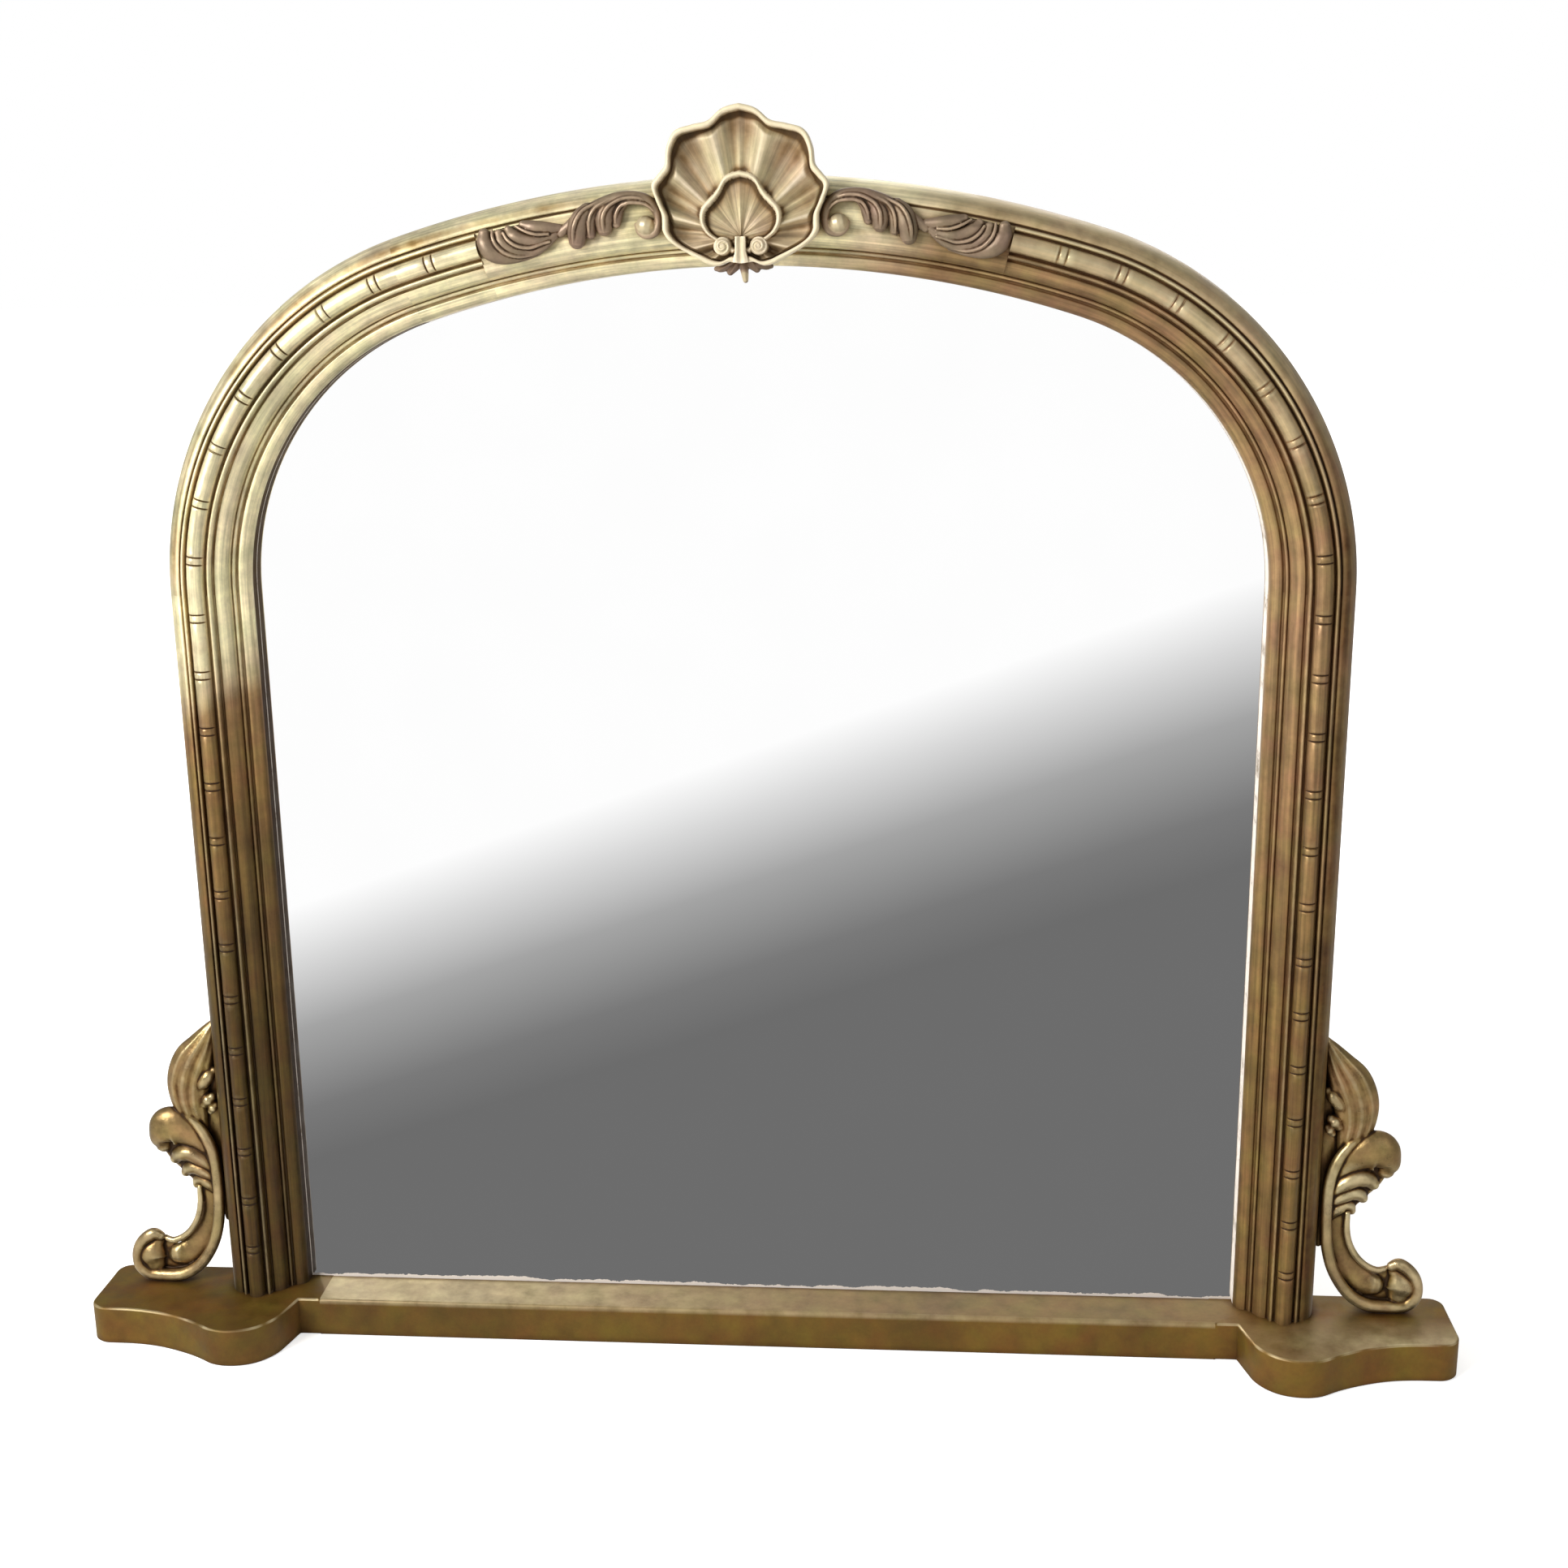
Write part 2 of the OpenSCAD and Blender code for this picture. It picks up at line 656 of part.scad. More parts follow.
// Leaves and drop below the shell, for a shell of the radius given after them
pendant_lobes = [
  [[0, -14, 8], [12, -24, 7], [22, -29, 4]],
  [[0, -14, 8], [-12, -24, 7], [-22, -29, 4]],
  [[0, -12, 8], [8, -27, 6], [14, -35, 3.5]],
  [[0, -12, 8], [-8, -27, 6], [-14, -35, 3.5]],
  [[0, -12, 8], [0, -30, 6], [0, -38, 4], [0, -41, 2.5]]
];
pendant_shell_r = 122;

// The pendant fits closely round the members of the crown behind it
module pendant() {
  grow = shell_r / pendant_shell_r;
  back_dep = sight_top - 3;
  difference() {
    translate([0, frieze_y + 8, root_z])
      for (points = pendant_lobes)
        lobe([for (p = points) p * grow], 14);
    sweep_arc(plain, crown_r, 0, crown_z, 88, 92, 1800);
    // The shell lies flat on the pendant's root
    translate([0, frieze_y, root_z])
      rotate([90, 0, 0])
        linear_extrude(height = frame_d)
          polygon([for (i = [0:shell_steps - 1])
            let (t = 360 * i / shell_steps, a = t > 180 ? 360 - t : t, e = shell_edge(a) + 0.3)
              [e * sin(t), e * cos(t)]]);
    translate([-shell_r, back_dep - back_y, root_z - shell_r])
      cube([2 * shell_r, frame_d, 2 * shell_r]);
  }
}

// ---- glass and back ----

module glass() {
  arch_panel(-rebate_in - glass_play, seat_z + glass_play, glass_dep, glass_t);
}

module glass_feet() {
  for (s = [-0.75, -0.25, 0.25, 0.75])
    translate([s * bead_half - 20, glass_dep - back_y, seat_z])
      cube([40, glass_t, glass_play]);
}

// Small blocks behind the edge of the glass, against the wall of the rebate
module glass_blocks() {
  block_len = 36;
  section = [[-rebate_in, block_dep], [-rebate_in, board_dep], [-inner_w, board_dep], [-inner_w, block_dep]];
  for (s = [-0.8, -0.4, 0, 0.4, 0.8])
    translate([s * bead_half - block_len / 2, block_dep - back_y, seat_z])
      cube([block_len, block_t, lip_w]);
  for (m = [0, 1])
    mirror([m, 0, 0]) {
      for (z = [plinth_h + 120 : 200 : spring_z - block_len])
        translate([bead_half - inner_w, block_dep - back_y, z])
          cube([lip_w, block_t, block_len]);
      for (a = [0.2, 0.6])
        sweep_arc(section, shoulder_r, shoulder_x, spring_z, a * split_a, a * split_a + 6);
      sweep_arc(section, crown_r, 0, crown_z, 90 - 0.4 * (90 - split_a), 92 - 0.4 * (90 - split_a));
    }
}

// One of the three upright boards of the back, counted from the left
module back_board(index) {
  half = bead_half - ledge_in - board_play;
  board_w = (2 * half - 2 * board_play) / 3;
  difference() {
    intersection() {
      arch_panel(-ledge_in - board_play, board_z + board_play, board_dep, board_t);
      translate([-half + index * (board_w + board_play), front_y, 0])
        cube([board_w, 2 * frame_d, crown_top + outer_w]);
    }
    frame_pins(fix_play);
    mirror([1, 0, 0])
      frame_pins(fix_play);
    rail_pin_set(fix_play);
  }
}

// ---- hangers ----

module hanger_strap() {
  tip_z = ring_z - strap_len + strap_w / 2;
  difference() {
    union() {
      translate([hanger_x - strap_w / 2, back_y, tip_z])
        cube([strap_w, strap_t, ring_z - tip_z]);
      translate([hanger_x, back_y + strap_t, tip_z])
        rotate([90, 0, 0])
          cylinder(r = strap_w / 2, h = strap_t, $fn = 48);
      translate([hanger_x - strap_w / 2, ring_y, ring_z])
        rotate([0, 90, 0])
          cylinder(r = eye_r, h = strap_w, $fn = 48);
      // Flank of the eye, where the strap rolls up from the wood
      translate([hanger_x - strap_w / 2, back_y, ring_z - eye_wall])
        cube([strap_w, ring_y - back_y - ring_pin_r - fix_play, 2 * eye_wall]);
    }
    translate([hanger_x - strap_w, ring_y, ring_z])
      rotate([0, 90, 0])
        cylinder(r = ring_pin_r + fix_play, h = 2 * strap_w, $fn = 48);
    hanger_screw_holes(back_y - 1, back_y + strap_t + 1, hanger_screw_r + fix_play);
  }
}

module hanger_loop() {
  translate([hanger_x, ring_y, ring_z]) {
    translate([-ring_r, 0, 0])
      rotate([0, 90, 0])
        cylinder(r = ring_pin_r, h = 2 * ring_r, $fn = 48);
    for (side = [-1, 1])
      translate([side * ring_r, 0, -ring_leg])
        cylinder(r = wire_r, h = ring_leg + wire_r, $fn = 48);
    translate([0, 0, -ring_leg])
      rotate([90, 0, 0])
        rotate([0, 0, 180])
          rotate_extrude(angle = 180, $fn = 96)
            translate([ring_r, 0])
              circle(r = wire_r, $fn = 48);
  }
}

module hanger_screw_set() {
  hanger_screw_holes(back_y + strap_t - hanger_screw_len, back_y + strap_t, hanger_screw_r);
  for (z = hanger_screw_z)
    translate([hanger_x, back_y + strap_t + 1.4, z])
      rotate([90, 0, 0])
        cylinder(r = 1.8 * hanger_screw_r, h = 1.4, $fn = 32);
}

// ---- nodes ----

module plinth_rail() { color(gilt_dark) rail_body(); }
module right_foot_block() { color(gilt_dark) foot_block(); }
module left_foot_block() { color(gilt_dark) mirror([1, 0, 0]) foot_block(); }
module right_upright() { color(gilt) upright(); }
module left_upright() { color(gilt) mirror([1, 0, 0]) upright(); }
module right_shoulder() { color(gilt) shoulder(); }
module left_shoulder() { color(gilt) mirror([1, 0, 0]) shoulder(); }
module crown_arch() { color(gilt) crown(); }
module shell_cartouche() { color(gilt) shell(); }
module shell_pendant() { color(bronze_gilt) pendant(); }
module right_spray() { color(bronze_gilt) spray(); }
module left_spray() { color(bronze_gilt) mirror([1, 0, 0]) spray(); }
module right_side_scroll() { color(gilt) side_scroll(); }
module left_side_scroll() { color(gilt) mirror([1, 0, 0]) side_scroll(); }
module mirror_glass() { color("#d8dde0") glass(); }
module setting_blocks() { color(deal) glass_feet(); }
module packing_blocks() { color(deal) glass_blocks(); }
module back_board_left() { color(deal) back_board(0); }
module back_board_middle() { color(deal) back_board(1); }
module back_board_right() { color(deal) back_board(2); }
module back_board_pins() {
  color(steel) {
    frame_pins(0);
    mirror([1, 0, 0])
      frame_pins(0);
    rail_pin_set(0);
  }
}
module arch_dowels() {
  color(deal) {
    arch_dowel_set(0);
    mirror([1, 0, 0])
      arch_dowel_set(0);
  }
}
module rail_dowels() {
  color(deal) {
    rail_dowel_set(0);
    mirror([1, 0, 0])
      rail_dowel_set(0);
  }
}
module upright_screws() {
  color(steel) {
    long_screws();
    mirror([1, 0, 0])
      long_screws();
  }
}
module right_hanger_strap() { color(steel) hanger_strap(); }
module left_hanger_strap() { color(steel) mirror([1, 0, 0]) hanger_strap(); }
module right_hanger_ring() { color(steel) hanger_loop(); }
module left_hanger_ring() { color(steel) mirror([1, 0, 0]) hanger_loop(); }
module hanger_screws() {
  color(steel) {
    hanger_screw_set();
    mirror([1, 0, 0])
      hanger_screw_set();
  }
}

plinth_rail();
left_foot_block();
right_foot_block();
left_upright();
right_upright();
left_shoulder();
right_shoulder();
crown_arch();
shell_cartouche();
shell_pendant();
left_spray();
right_spray();
left_side_scroll();
right_side_scroll();
mirror_glass();
setting_blocks();
packing_blocks();
back_board_left();
back_board_middle();
back_board_right();
back_board_pins();
arch_dowels();
rail_dowels();
upright_screws();
left_hanger_strap();
right_hanger_strap();
left_hanger_ring();
right_hanger_ring();
hanger_screws();
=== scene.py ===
"""Arched overmantel mirror: gilt moulding, shell crest, sprays, side scrolls and plinth.

Lengths are written in millimetres and turned to metres where a mesh is made.
"""

import math
from types import SimpleNamespace

import bmesh
import bpy
import numpy as np
from bpy.props import FloatProperty, FloatVectorProperty, PointerProperty
from mathutils import Matrix, Vector


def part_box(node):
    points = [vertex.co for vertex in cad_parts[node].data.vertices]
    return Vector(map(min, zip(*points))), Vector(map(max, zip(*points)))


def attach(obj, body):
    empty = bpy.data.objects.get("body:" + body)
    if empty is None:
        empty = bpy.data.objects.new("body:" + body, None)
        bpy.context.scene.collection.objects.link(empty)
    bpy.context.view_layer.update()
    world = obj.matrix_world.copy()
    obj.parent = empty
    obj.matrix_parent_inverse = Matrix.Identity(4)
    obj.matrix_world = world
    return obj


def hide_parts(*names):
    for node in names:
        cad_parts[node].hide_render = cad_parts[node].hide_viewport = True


bl_info = {
    "name": "Gilt overmantel mirror",
    "version": (1, 0, 0),
    "blender": (4, 5, 0),
    "location": "3D View > Sidebar > Overmantel",
    "description": "Builds the pieces and finishes of an arched overmantel mirror",
    "category": "Object",
}

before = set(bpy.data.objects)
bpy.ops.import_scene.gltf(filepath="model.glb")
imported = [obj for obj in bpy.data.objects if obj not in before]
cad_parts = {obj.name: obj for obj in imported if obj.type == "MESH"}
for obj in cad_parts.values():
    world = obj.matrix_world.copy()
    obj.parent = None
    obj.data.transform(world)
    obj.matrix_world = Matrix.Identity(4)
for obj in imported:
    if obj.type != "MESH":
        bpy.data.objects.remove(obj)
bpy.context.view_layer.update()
MM = 0.001
SIDES = ((1, "right"), (-1, "left"))


def linear(value):
    """An sRGB hex colour such as "#c8b27a" as linear RGBA."""
    channels = [int(value[i : i + 2], 16) / 255 for i in (1, 3, 5)]
    return [c / 12.92 if c <= 0.04045 else ((c + 0.055) / 1.055) ** 2.4 for c in channels] + [1.0]


def length(name, description, value):
    return FloatProperty(name=name, description=description, default=value * MM, unit="LENGTH")


def colour(name, description, value):
    return FloatVectorProperty(
        name=name, description=description, default=linear(value), size=4, subtype="COLOR", min=0, max=1
    )


# ---- sizes and colours that a user would change ----

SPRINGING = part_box("left_upright")[1].z / MM
PLINTH_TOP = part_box("plinth_rail")[1].z / MM
RAIL_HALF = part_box("plinth_rail")[1].x / MM
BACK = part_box("plinth_rail")[1].y / MM
SHELL_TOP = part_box("shell_cartouche")[1].z / MM

# The moulding's section, out from the bead line or behind the crest of the bead
OUTER, OUTER_TURN, BEAD = 37.5, 17.5, 9.0
FILLET_DEPTH, GLASS_SIDE, BOARD_SIDE, GLASS_FACE = 12.5, -41.5, -28.0, 55.0
GLASS_BACK, BOARD_BACK = 64.0, 70.0


class OvermantelSizes(bpy.types.PropertyGroup):
    bead_half: length("Bead line", "Half the distance between the bead lines of the uprights", 574)
    spring_z: length("Springing", "Height where the arch begins", SPRINGING)
    shoulder_r: length("Shoulder radius", "Radius of the bead line over each shoulder", 336)
    crown_r: length("Crown radius", "Radius of the bead line over the crown", 1110)
    depth: length("Depth", "Depth of the frame from the crest of the bead to its back", 2 * BACK)
    cut_pitch: length("Cut pitch", "Pitch of the pairs of cuts across the bead", 60)
    cut_gap: length("Cut gap", "Distance between the two cuts of a pair", 8)
    cut_width: length("Cut width", "Width of one cut", 2.0)
    cut_depth: length("Cut depth", "Depth of one cut", 1.1)
    spray_len: length("Spray length", "From the middle of the crown to the tip of a spray", 262)
    frieze_dep: length("Frieze depth", "How far the frieze lies behind the crest of the bead", 10)
    plinth_h: length("Plinth height", "Height of the plinth", PLINTH_TOP)
    shell_h: length("Shell rim", "Height of the shell's rim above its back", 22)
    scroll_dep: length("Scroll depth", "Middle of a side scroll behind the crest of the bead", 42)
    edge_wear: length("Edge wear", "Radius to which the plinth's edges are rubbed down", 3.0)


class OvermantelColours(bpy.types.PropertyGroup):
    # pale, mid, low and deep are ramped across the moulding as painted light and shade: pale where it is lit, deep
    # where it is in shade.
    pale: colour("Pale gilt", "Champagne gold high on the arch", "#e8dcb2")
    mid: colour("Mid gilt", "Tan gold of the right shoulder", "#957750")
    low: colour("Low gilt", "Brown gold of the uprights", "#836639")
    deep: colour("Deep gilt", "Dark brown gold of the left upright", "#503b15")
    # Stain and umber also colour the painted shade in corners, on flanks, under rims and on the left lip.
    stain: colour("Stain", "Brown that a thin glaze gives the gold", "#ab9069")
    umber: colour("Umber", "Dark glaze left in the hollows", "#332210")
    # The rubbed gilt is also the colour of painted highlights.
    worn_and_lit: colour("Rubbed gilt", "Lighter gold where crests are rubbed", "#f1e2b6")
    bronze: colour("Bronzed gilt", "Purple-brown gold of the sprays", "#86725c")
    bronze_worn: colour("Rubbed bronze", "Lighter brown where the sprays are rubbed", "#c6ab8e")
    plinth: colour("Plinth gilt", "Amber brown of the rail and the foot blocks", "#74571f")
    scroll: colour("Scroll gilt", "Yellow brown of the side scrolls", "#977d50")
    shell: colour("Shell glaze", "Khaki glaze over the shell", "#b7a684")
    cream: colour("Cream gilt", "Pale rubbed rims of the shell", "#eadbc0")
    gesso: colour("Gesso", "Chalk ground left bare on the lip over the glass", "#d9cfc4")
    board: colour("Frame wood", "Bare softwood at the back of the frame, darkened by age", "#a5804f")
    panel: colour("Back boards", "Thin pine boards, paler than the frame", "#bd9a6b")
    zinc: colour("Zinc", "Zinc plate on rings, straps and screws", "#b9bbb8")
    plate: colour("Mirror plate", "Silvered plate glass", "#fefefe")
    floor: colour("Floor", "Pale studio floor", "#e9e7e3")


def sizes():
    """The sizes in millimetres, and the places that follow from them."""
    held = bpy.context.scene.overmantel_sizes
    s = SimpleNamespace(**{key: getattr(held, key) / MM for key in OvermantelSizes.__annotations__})
    s.front, s.back = -s.depth / 2, s.depth / 2
    s.frieze_y = s.front + s.frieze_dep
    s.flank = s.bead_half + OUTER
    s.shoulder_x = s.bead_half - s.shoulder_r
    s.rise = math.sqrt((s.crown_r - s.shoulder_r) ** 2 - s.shoulder_x**2)
    s.crown_z = s.spring_z - s.rise
    s.root_z = SHELL_TOP - SHELL_EDGE[0][1]
    return s


def paint(name):
    return tuple(getattr(bpy.context.scene.overmantel_colours, name))


# ---- making meshes ----


def read(items, key, width=3, kind=float):
    """One row of numbers for each item."""
    held = np.zeros(len(items) * width, kind)
    items.foreach_get(key, held)
    return held.reshape(-1, width)


def tidy_faces(mesh, sharp=50):
    """Turns faces outward, splits those with many corners, and keeps edges over so many degrees sharp."""
    made = bmesh.new()
    made.from_mesh(mesh)
    bmesh.ops.recalc_face_normals(made, faces=made.faces)
    bmesh.ops.triangulate(made, faces=[f for f in made.faces if len(f.verts) > 4], ngon_method="EAR_CLIP")
    made.to_mesh(mesh)
    made.free()
    mesh.shade_smooth()
    mesh.set_sharp_from_angle(angle=math.radians(sharp))


def store_relief(mesh, values):
    """Stores crests above 0 and hollows below 0, one value per point, for the glaze and the wear, and for painted
    light and shade.
    """
    layer = mesh.attributes.get("relief") or mesh.attributes.new("relief", "FLOAT", "POINT")
    layer.data.foreach_set("value", np.clip(values, -1, 2).astype(np.float32))


def make_mesh(name, points, faces, finishes, sharp=50, indices=None, uv=None, relief=None):
    """A piece of the frame from points in millimetres, with its crests and hollows stored as relief."""
    mesh = bpy.data.meshes.new(name)
    mesh.from_pydata((np.asarray(points, float) * MM).tolist(), [], faces)
    for finish in finishes:
        mesh.materials.append(finish_of(finish))
    if indices is not None:
        mesh.polygons.foreach_set("material_index", np.asarray(indices, np.int32))
    tidy_faces(mesh, sharp)
    if uv is not None:
        layer = mesh.uv_layers.new(name="along_across")
        corners = read(mesh.loops, "vertex_index", 1, np.int32)[:, 0]
        layer.data.foreach_set("uv", (np.asarray(uv, np.float32)[corners] * MM).ravel())
    store_relief(mesh, np.zeros(len(mesh.vertices)) if relief is None else relief)
    piece = bpy.data.objects.new(name, mesh)
    bpy.context.scene.collection.objects.link(piece)
    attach(piece, "frame")
    return piece


def stand_for(node):
    """Hides the CAD node that a piece stands for."""
    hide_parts(node)


def evaluated(piece):
    """The piece's mesh with its modifiers applied, which are then removed."""
    bpy.context.view_layer.update()
    made = bpy.data.meshes.new_from_object(piece.evaluated_get(bpy.context.evaluated_depsgraph_get()))
    piece.modifiers.clear()
    return made


def curve_through(rows, step):
    """A smooth line through rows of numbers whose first two are a place, one row every step or so."""
    rows = np.asarray(rows, float)
    ends = np.vstack([2 * rows[0] - rows[1], rows, 2 * rows[-1] - rows[-2]])
    made = []
    for a, b, c, d in zip(ends, ends[1:], ends[2:], ends[3:]):
        count = max(2, int(math.ceil(np.hypot(*(c - b)[:2]) / step)))
        t = (np.arange(count) / count)[:, None]
        made.append(
            0.5 * (2 * b + (c - a) * t + (2 * a - 5 * b + 4 * c - d) * t**2 + (3 * b - a - 3 * c + d) * t**3)
        )
    return np.vstack(made + [rows[-1:]])


def smooth_value(x, places, values):
    """A smooth curve through (places, values), read at x."""
    places, values = np.asarray(places, float), np.asarray(values, float)
    slopes = np.gradient(values, places)
    i = np.clip(np.searchsorted(places, x) - 1, 0, len(places) - 2)
    gap = places[i + 1] - places[i]
    t = np.clip((x - places[i]) / gap, 0, 1)
    return (
        (2 * t**3 - 3 * t**2 + 1) * values[i]
        + (t**3 - 2 * t**2 + t) * gap * slopes[i]
        + (3 * t**2 - 2 * t**3) * values[i + 1]
        + (t**3 - t**2) * gap * slopes[i + 1]
    )


def step_up(x, low, high):
    """0 up to low, 1 from high on, and a soft step between them."""
    t = np.clip((x - low) / (high - low), 0, 1)
    return t * t * (3 - 2 * t)


def skin(rows, cols):
    """Faces round a grid of points, rows by cols, with closed ends."""
    faces = []
    for r in range(rows - 1):
        for c in range(cols):
            d = (c + 1) % cols
            faces.append((r * cols + c, r * cols + d, (r + 1) * cols + d, (r + 1) * cols + c))
    return faces + [tuple(range(cols - 1, -1, -1)), tuple(range((rows - 1) * cols, rows * cols))]


# ---- materials ----


def add(tree, kind, inputs=(), **settings):
    """Adds one node; inputs maps a socket to a value, to a node's output, or to a node for its first output."""
    made = tree.nodes.new("ShaderNode" + kind)
    for key, value in settings.items():
        setattr(made, key, value)
    for key, value in dict(inputs).items():
        if isinstance(value, bpy.types.Node):
            value = value.outputs[0]
        if isinstance(value, bpy.types.NodeSocket):
            tree.links.new(value, made.inputs[key])
        else:
            made.inputs[key].default_value = value
    return made


def start_material(name):
    """An empty material with its output and main shader."""
    made = bpy.data.materials.new(name)
    made.use_nodes = True
    tree = made.node_tree
    tree.nodes.clear()
    shader = add(tree, "BsdfPrincipled")
    add(tree, "OutputMaterial", {"Surface": shader})
    return made, tree, shader


def ramp_stops(ramp, stops):
    """Sets a colour ramp's stops from (place, colour) pairs."""
    elements = ramp.color_ramp.elements
    while len(elements) > len(stops):
        elements.remove(elements[-1])
    while len(elements) < len(stops):
        elements.new(0.5)
    for element, (place, shade) in zip(elements, stops):
        element.position = place
        element.color = shade


def gilt(
    name, shades, glaze=1.0, wear=1.0, streaks=0.0, metallic=0.55, roughness=0.42,
    rub="worn_and_lit", rubbing=0.55, corner=0.9, top_lightening=0.0, bumpy=1.0, mottle=1.0, plinth=False,
):
    """Bronze powder paint over gesso, glazed with umber and rubbed back.

    The glaze stays in the hollows and gives the dark lines, the rubbing bares pale gold on the crests,
    and the loose powder gives a soft satin gloss with small dull patches. Light and shade are painted in too:
    a tone across the frame, shade in the corners from occlusion, and painted marks stored in the relief.
    """
    made, tree, shader = start_material(name)
    place = add(tree, "TexCoord").outputs["Object"]
    # Painted light and shade: the gold is painted palest high on the left, where it is lit, and darker towards the
    # right, the foot and the left upright, where it is in shade.
    axes = add(tree, "SeparateXYZ", {0: place})
    slope = add(tree, "VectorMath", {0: place, 1: (-0.536, 0.0, 0.844)}, operation="DOT_PRODUCT")
    drift = add(tree, "TexNoise", {"Vector": place, "Scale": 5.0, "Detail": 3.0})
    drift = add(tree, "MapRange", {0: drift, 1: 0.3, 2: 0.7, 3: -0.02, 4: 0.02})
    slope = add(tree, "Math", {0: slope.outputs["Value"], 1: drift}, operation="ADD")
    painted_shading = add(
        tree,
        "MapRange",
        {0: slope, 1: 0.975, 2: 0.89, 3: 0.0, 4: 0.5},
        interpolation_type="SMOOTHSTEP",
    )
    lower = add(tree, "MapRange", {0: axes.outputs[2], 1: 0.8, 2: 0.35, 3: 0.0, 4: 0.2})
    tone = add(tree, "Math", {0: painted_shading, 1: lower}, operation="ADD")
    left = add(tree, "MapRange", {0: axes, 1: 0.1, 2: -0.5, 3: 0.0, 4: 1.6})
    tone = add(tree, "Math", {0: lower, 1: left, 2: tone}, operation="MULTIPLY_ADD")
    base = add(tree, "ValToRGB", {0: tone})
    ramp_stops(base, [(at, paint(shade)) for at, shade in shades])
    # Mottling about 20 mm and 4 mm across, from the dabbed paint
    blotch = add(tree, "TexNoise", {"Vector": place, "Scale": 50.0, "Detail": 4.0, "Roughness": 0.6})
    fleck = add(tree, "TexNoise", {"Vector": place, "Scale": 260.0, "Detail": 3.0, "Roughness": 0.7})
    value = add(tree, "MapRange", {0: blotch, 1: 0.28, 2: 0.72, 3: 1 - 0.2 * mottle, 4: 1 + 0.14 * mottle})
    fine = add(tree, "MapRange", {0: fleck, 1: 0.3, 2: 0.7, 3: 0.94, 4: 1.05})
    value = add(tree, "Math", {0: value, 1: fine}, operation="MULTIPLY")
    if streaks:
        # Brush lines that run along the moulding, 1 to 5 mm wide and about 200 mm long
        uv = add(tree, "UVMap", uv_map="along_across").outputs[0]
        drawn = add(tree, "Mapping", {"Vector": uv, "Scale": (5.0, 190.0, 1.0)})
        lines = add(tree, "TexNoise", {"Vector": drawn, "Scale": 1.0, "Detail": 5.0, "Roughness": 0.65})
        lines = add(tree, "MapRange", {0: lines, 1: 0.3, 2: 0.7, 3: 1 - streaks, 4: 1 + streaks})
        value = add(tree, "Math", {0: value, 1: lines}, operation="MULTIPLY")
    # The powder turned a little green in places and pink in others.
    turned = add(tree, "TexNoise", {"Vector": place, "Scale": 28.0, "Detail": 3.0})
    turned = add(tree, "MapRange", {0: turned, 1: 0.3, 2: 0.7, 3: 0.482, 4: 0.516})
    # Here and there a hand's breadth of the paint has greyed.
    greyed = add(tree, "TexNoise", {"Vector": place, "Scale": 8.0, "Detail": 4.0, "Roughness": 0.55})
    greyed = add(tree, "MapRange", {0: greyed, 1: 0.52, 2: 0.68, 3: 1.0, 4: 0.74})
    value = add(tree, "Math", {0: value, 1: greyed}, operation="MULTIPLY")
    if plinth:
        # Painted shade: the rail is painted darker towards its left end, where it is set back, and lighter to the
        # right; the left foot block a little lighter than the rail.
        painted_rail_shade = add(tree, "MapRange", {0: axes, 1: -0.5, 2: 0.5, 3: 0.76, 4: 1.12})
        block = add(tree, "MapRange", {0: axes, 1: -0.51, 2: -0.53, 3: 0.0, 4: 0.2})
        painted_rail_shade = add(tree, "Math", {0: painted_rail_shade, 1: block}, operation="ADD")
        value = add(tree, "Math", {0: value, 1: painted_rail_shade}, operation="MULTIPLY")
    shade = add(tree, "HueSaturation", {"Hue": turned, "Color": base, "Value": value})
    relief = add(tree, "Attribute", attribute_name="relief").outputs["Fac"]
    if plinth:
        # Painted light: the ledge before the glass is painted lighter, as if lit, most of all at its left end; it
        # goes in as rubbed relief.
        up = add(tree, "SeparateXYZ", {0: add(tree, "NewGeometry").outputs["Normal"]})
        up = add(tree, "MapRange", {0: up.outputs[2], 1: 0.7, 2: 0.95, 3: 0.0, 4: 1.0})
        end = RAIL_HALF * MM
        out = add(tree, "MapRange", {0: axes, 1: end + 0.01, 2: end + 0.11, 3: 1.0, 4: 0.0})
        left = add(tree, "Math", {0: axes, 1: -end}, operation="GREATER_THAN")
        out = add(tree, "Math", {0: out, 1: left}, operation="MULTIPLY")
        along = add(
            tree,
            "MapRange",
            {0: axes, 1: 0.2, 2: -end, 3: 0.47, 4: 0.86},
            interpolation_type="SMOOTHSTEP",
        )
        ledge = add(tree, "Math", {0: up, 1: out}, operation="MULTIPLY")
        ledge = add(tree, "Math", {0: ledge, 1: along}, operation="MULTIPLY")
        relief = add(tree, "Math", {0: relief, 1: ledge}, operation="MAXIMUM").outputs[0]
    # Crests are rubbed pale here; the same steps also lay on the painted light stored in the relief: the lit
    # ledge, the lit band over the right of the arch and the highlight on the right scroll.
    rubbed = add(tree, "MapRange", {0: relief, 1: 0.25, 2: 0.95, 3: 0.0, 4: wear})
    rubbed = add(tree, "Math", {0: rubbed, 1: blotch}, operation="MULTIPLY")
    rubbed = add(tree, "Math", {0: rubbed, 1: 1.6}, operation="MULTIPLY", use_clamp=True)
    lighter = add(tree, "MixRGB", {0: rubbing, 1: shade, 2: paint(rub)})
    worn_and_lit = add(tree, "MixRGB", {0: rubbed, 1: shade, 2: lighter})
    bared_and_lit = add(tree, "MapRange", {0: relief, 1: 1.2, 2: 1.8, 3: 0.0, 4: 0.5})
    worn_and_lit = add(tree, "MixRGB", {0: bared_and_lit, 1: worn_and_lit, 2: paint("pale")})
    if top_lightening:
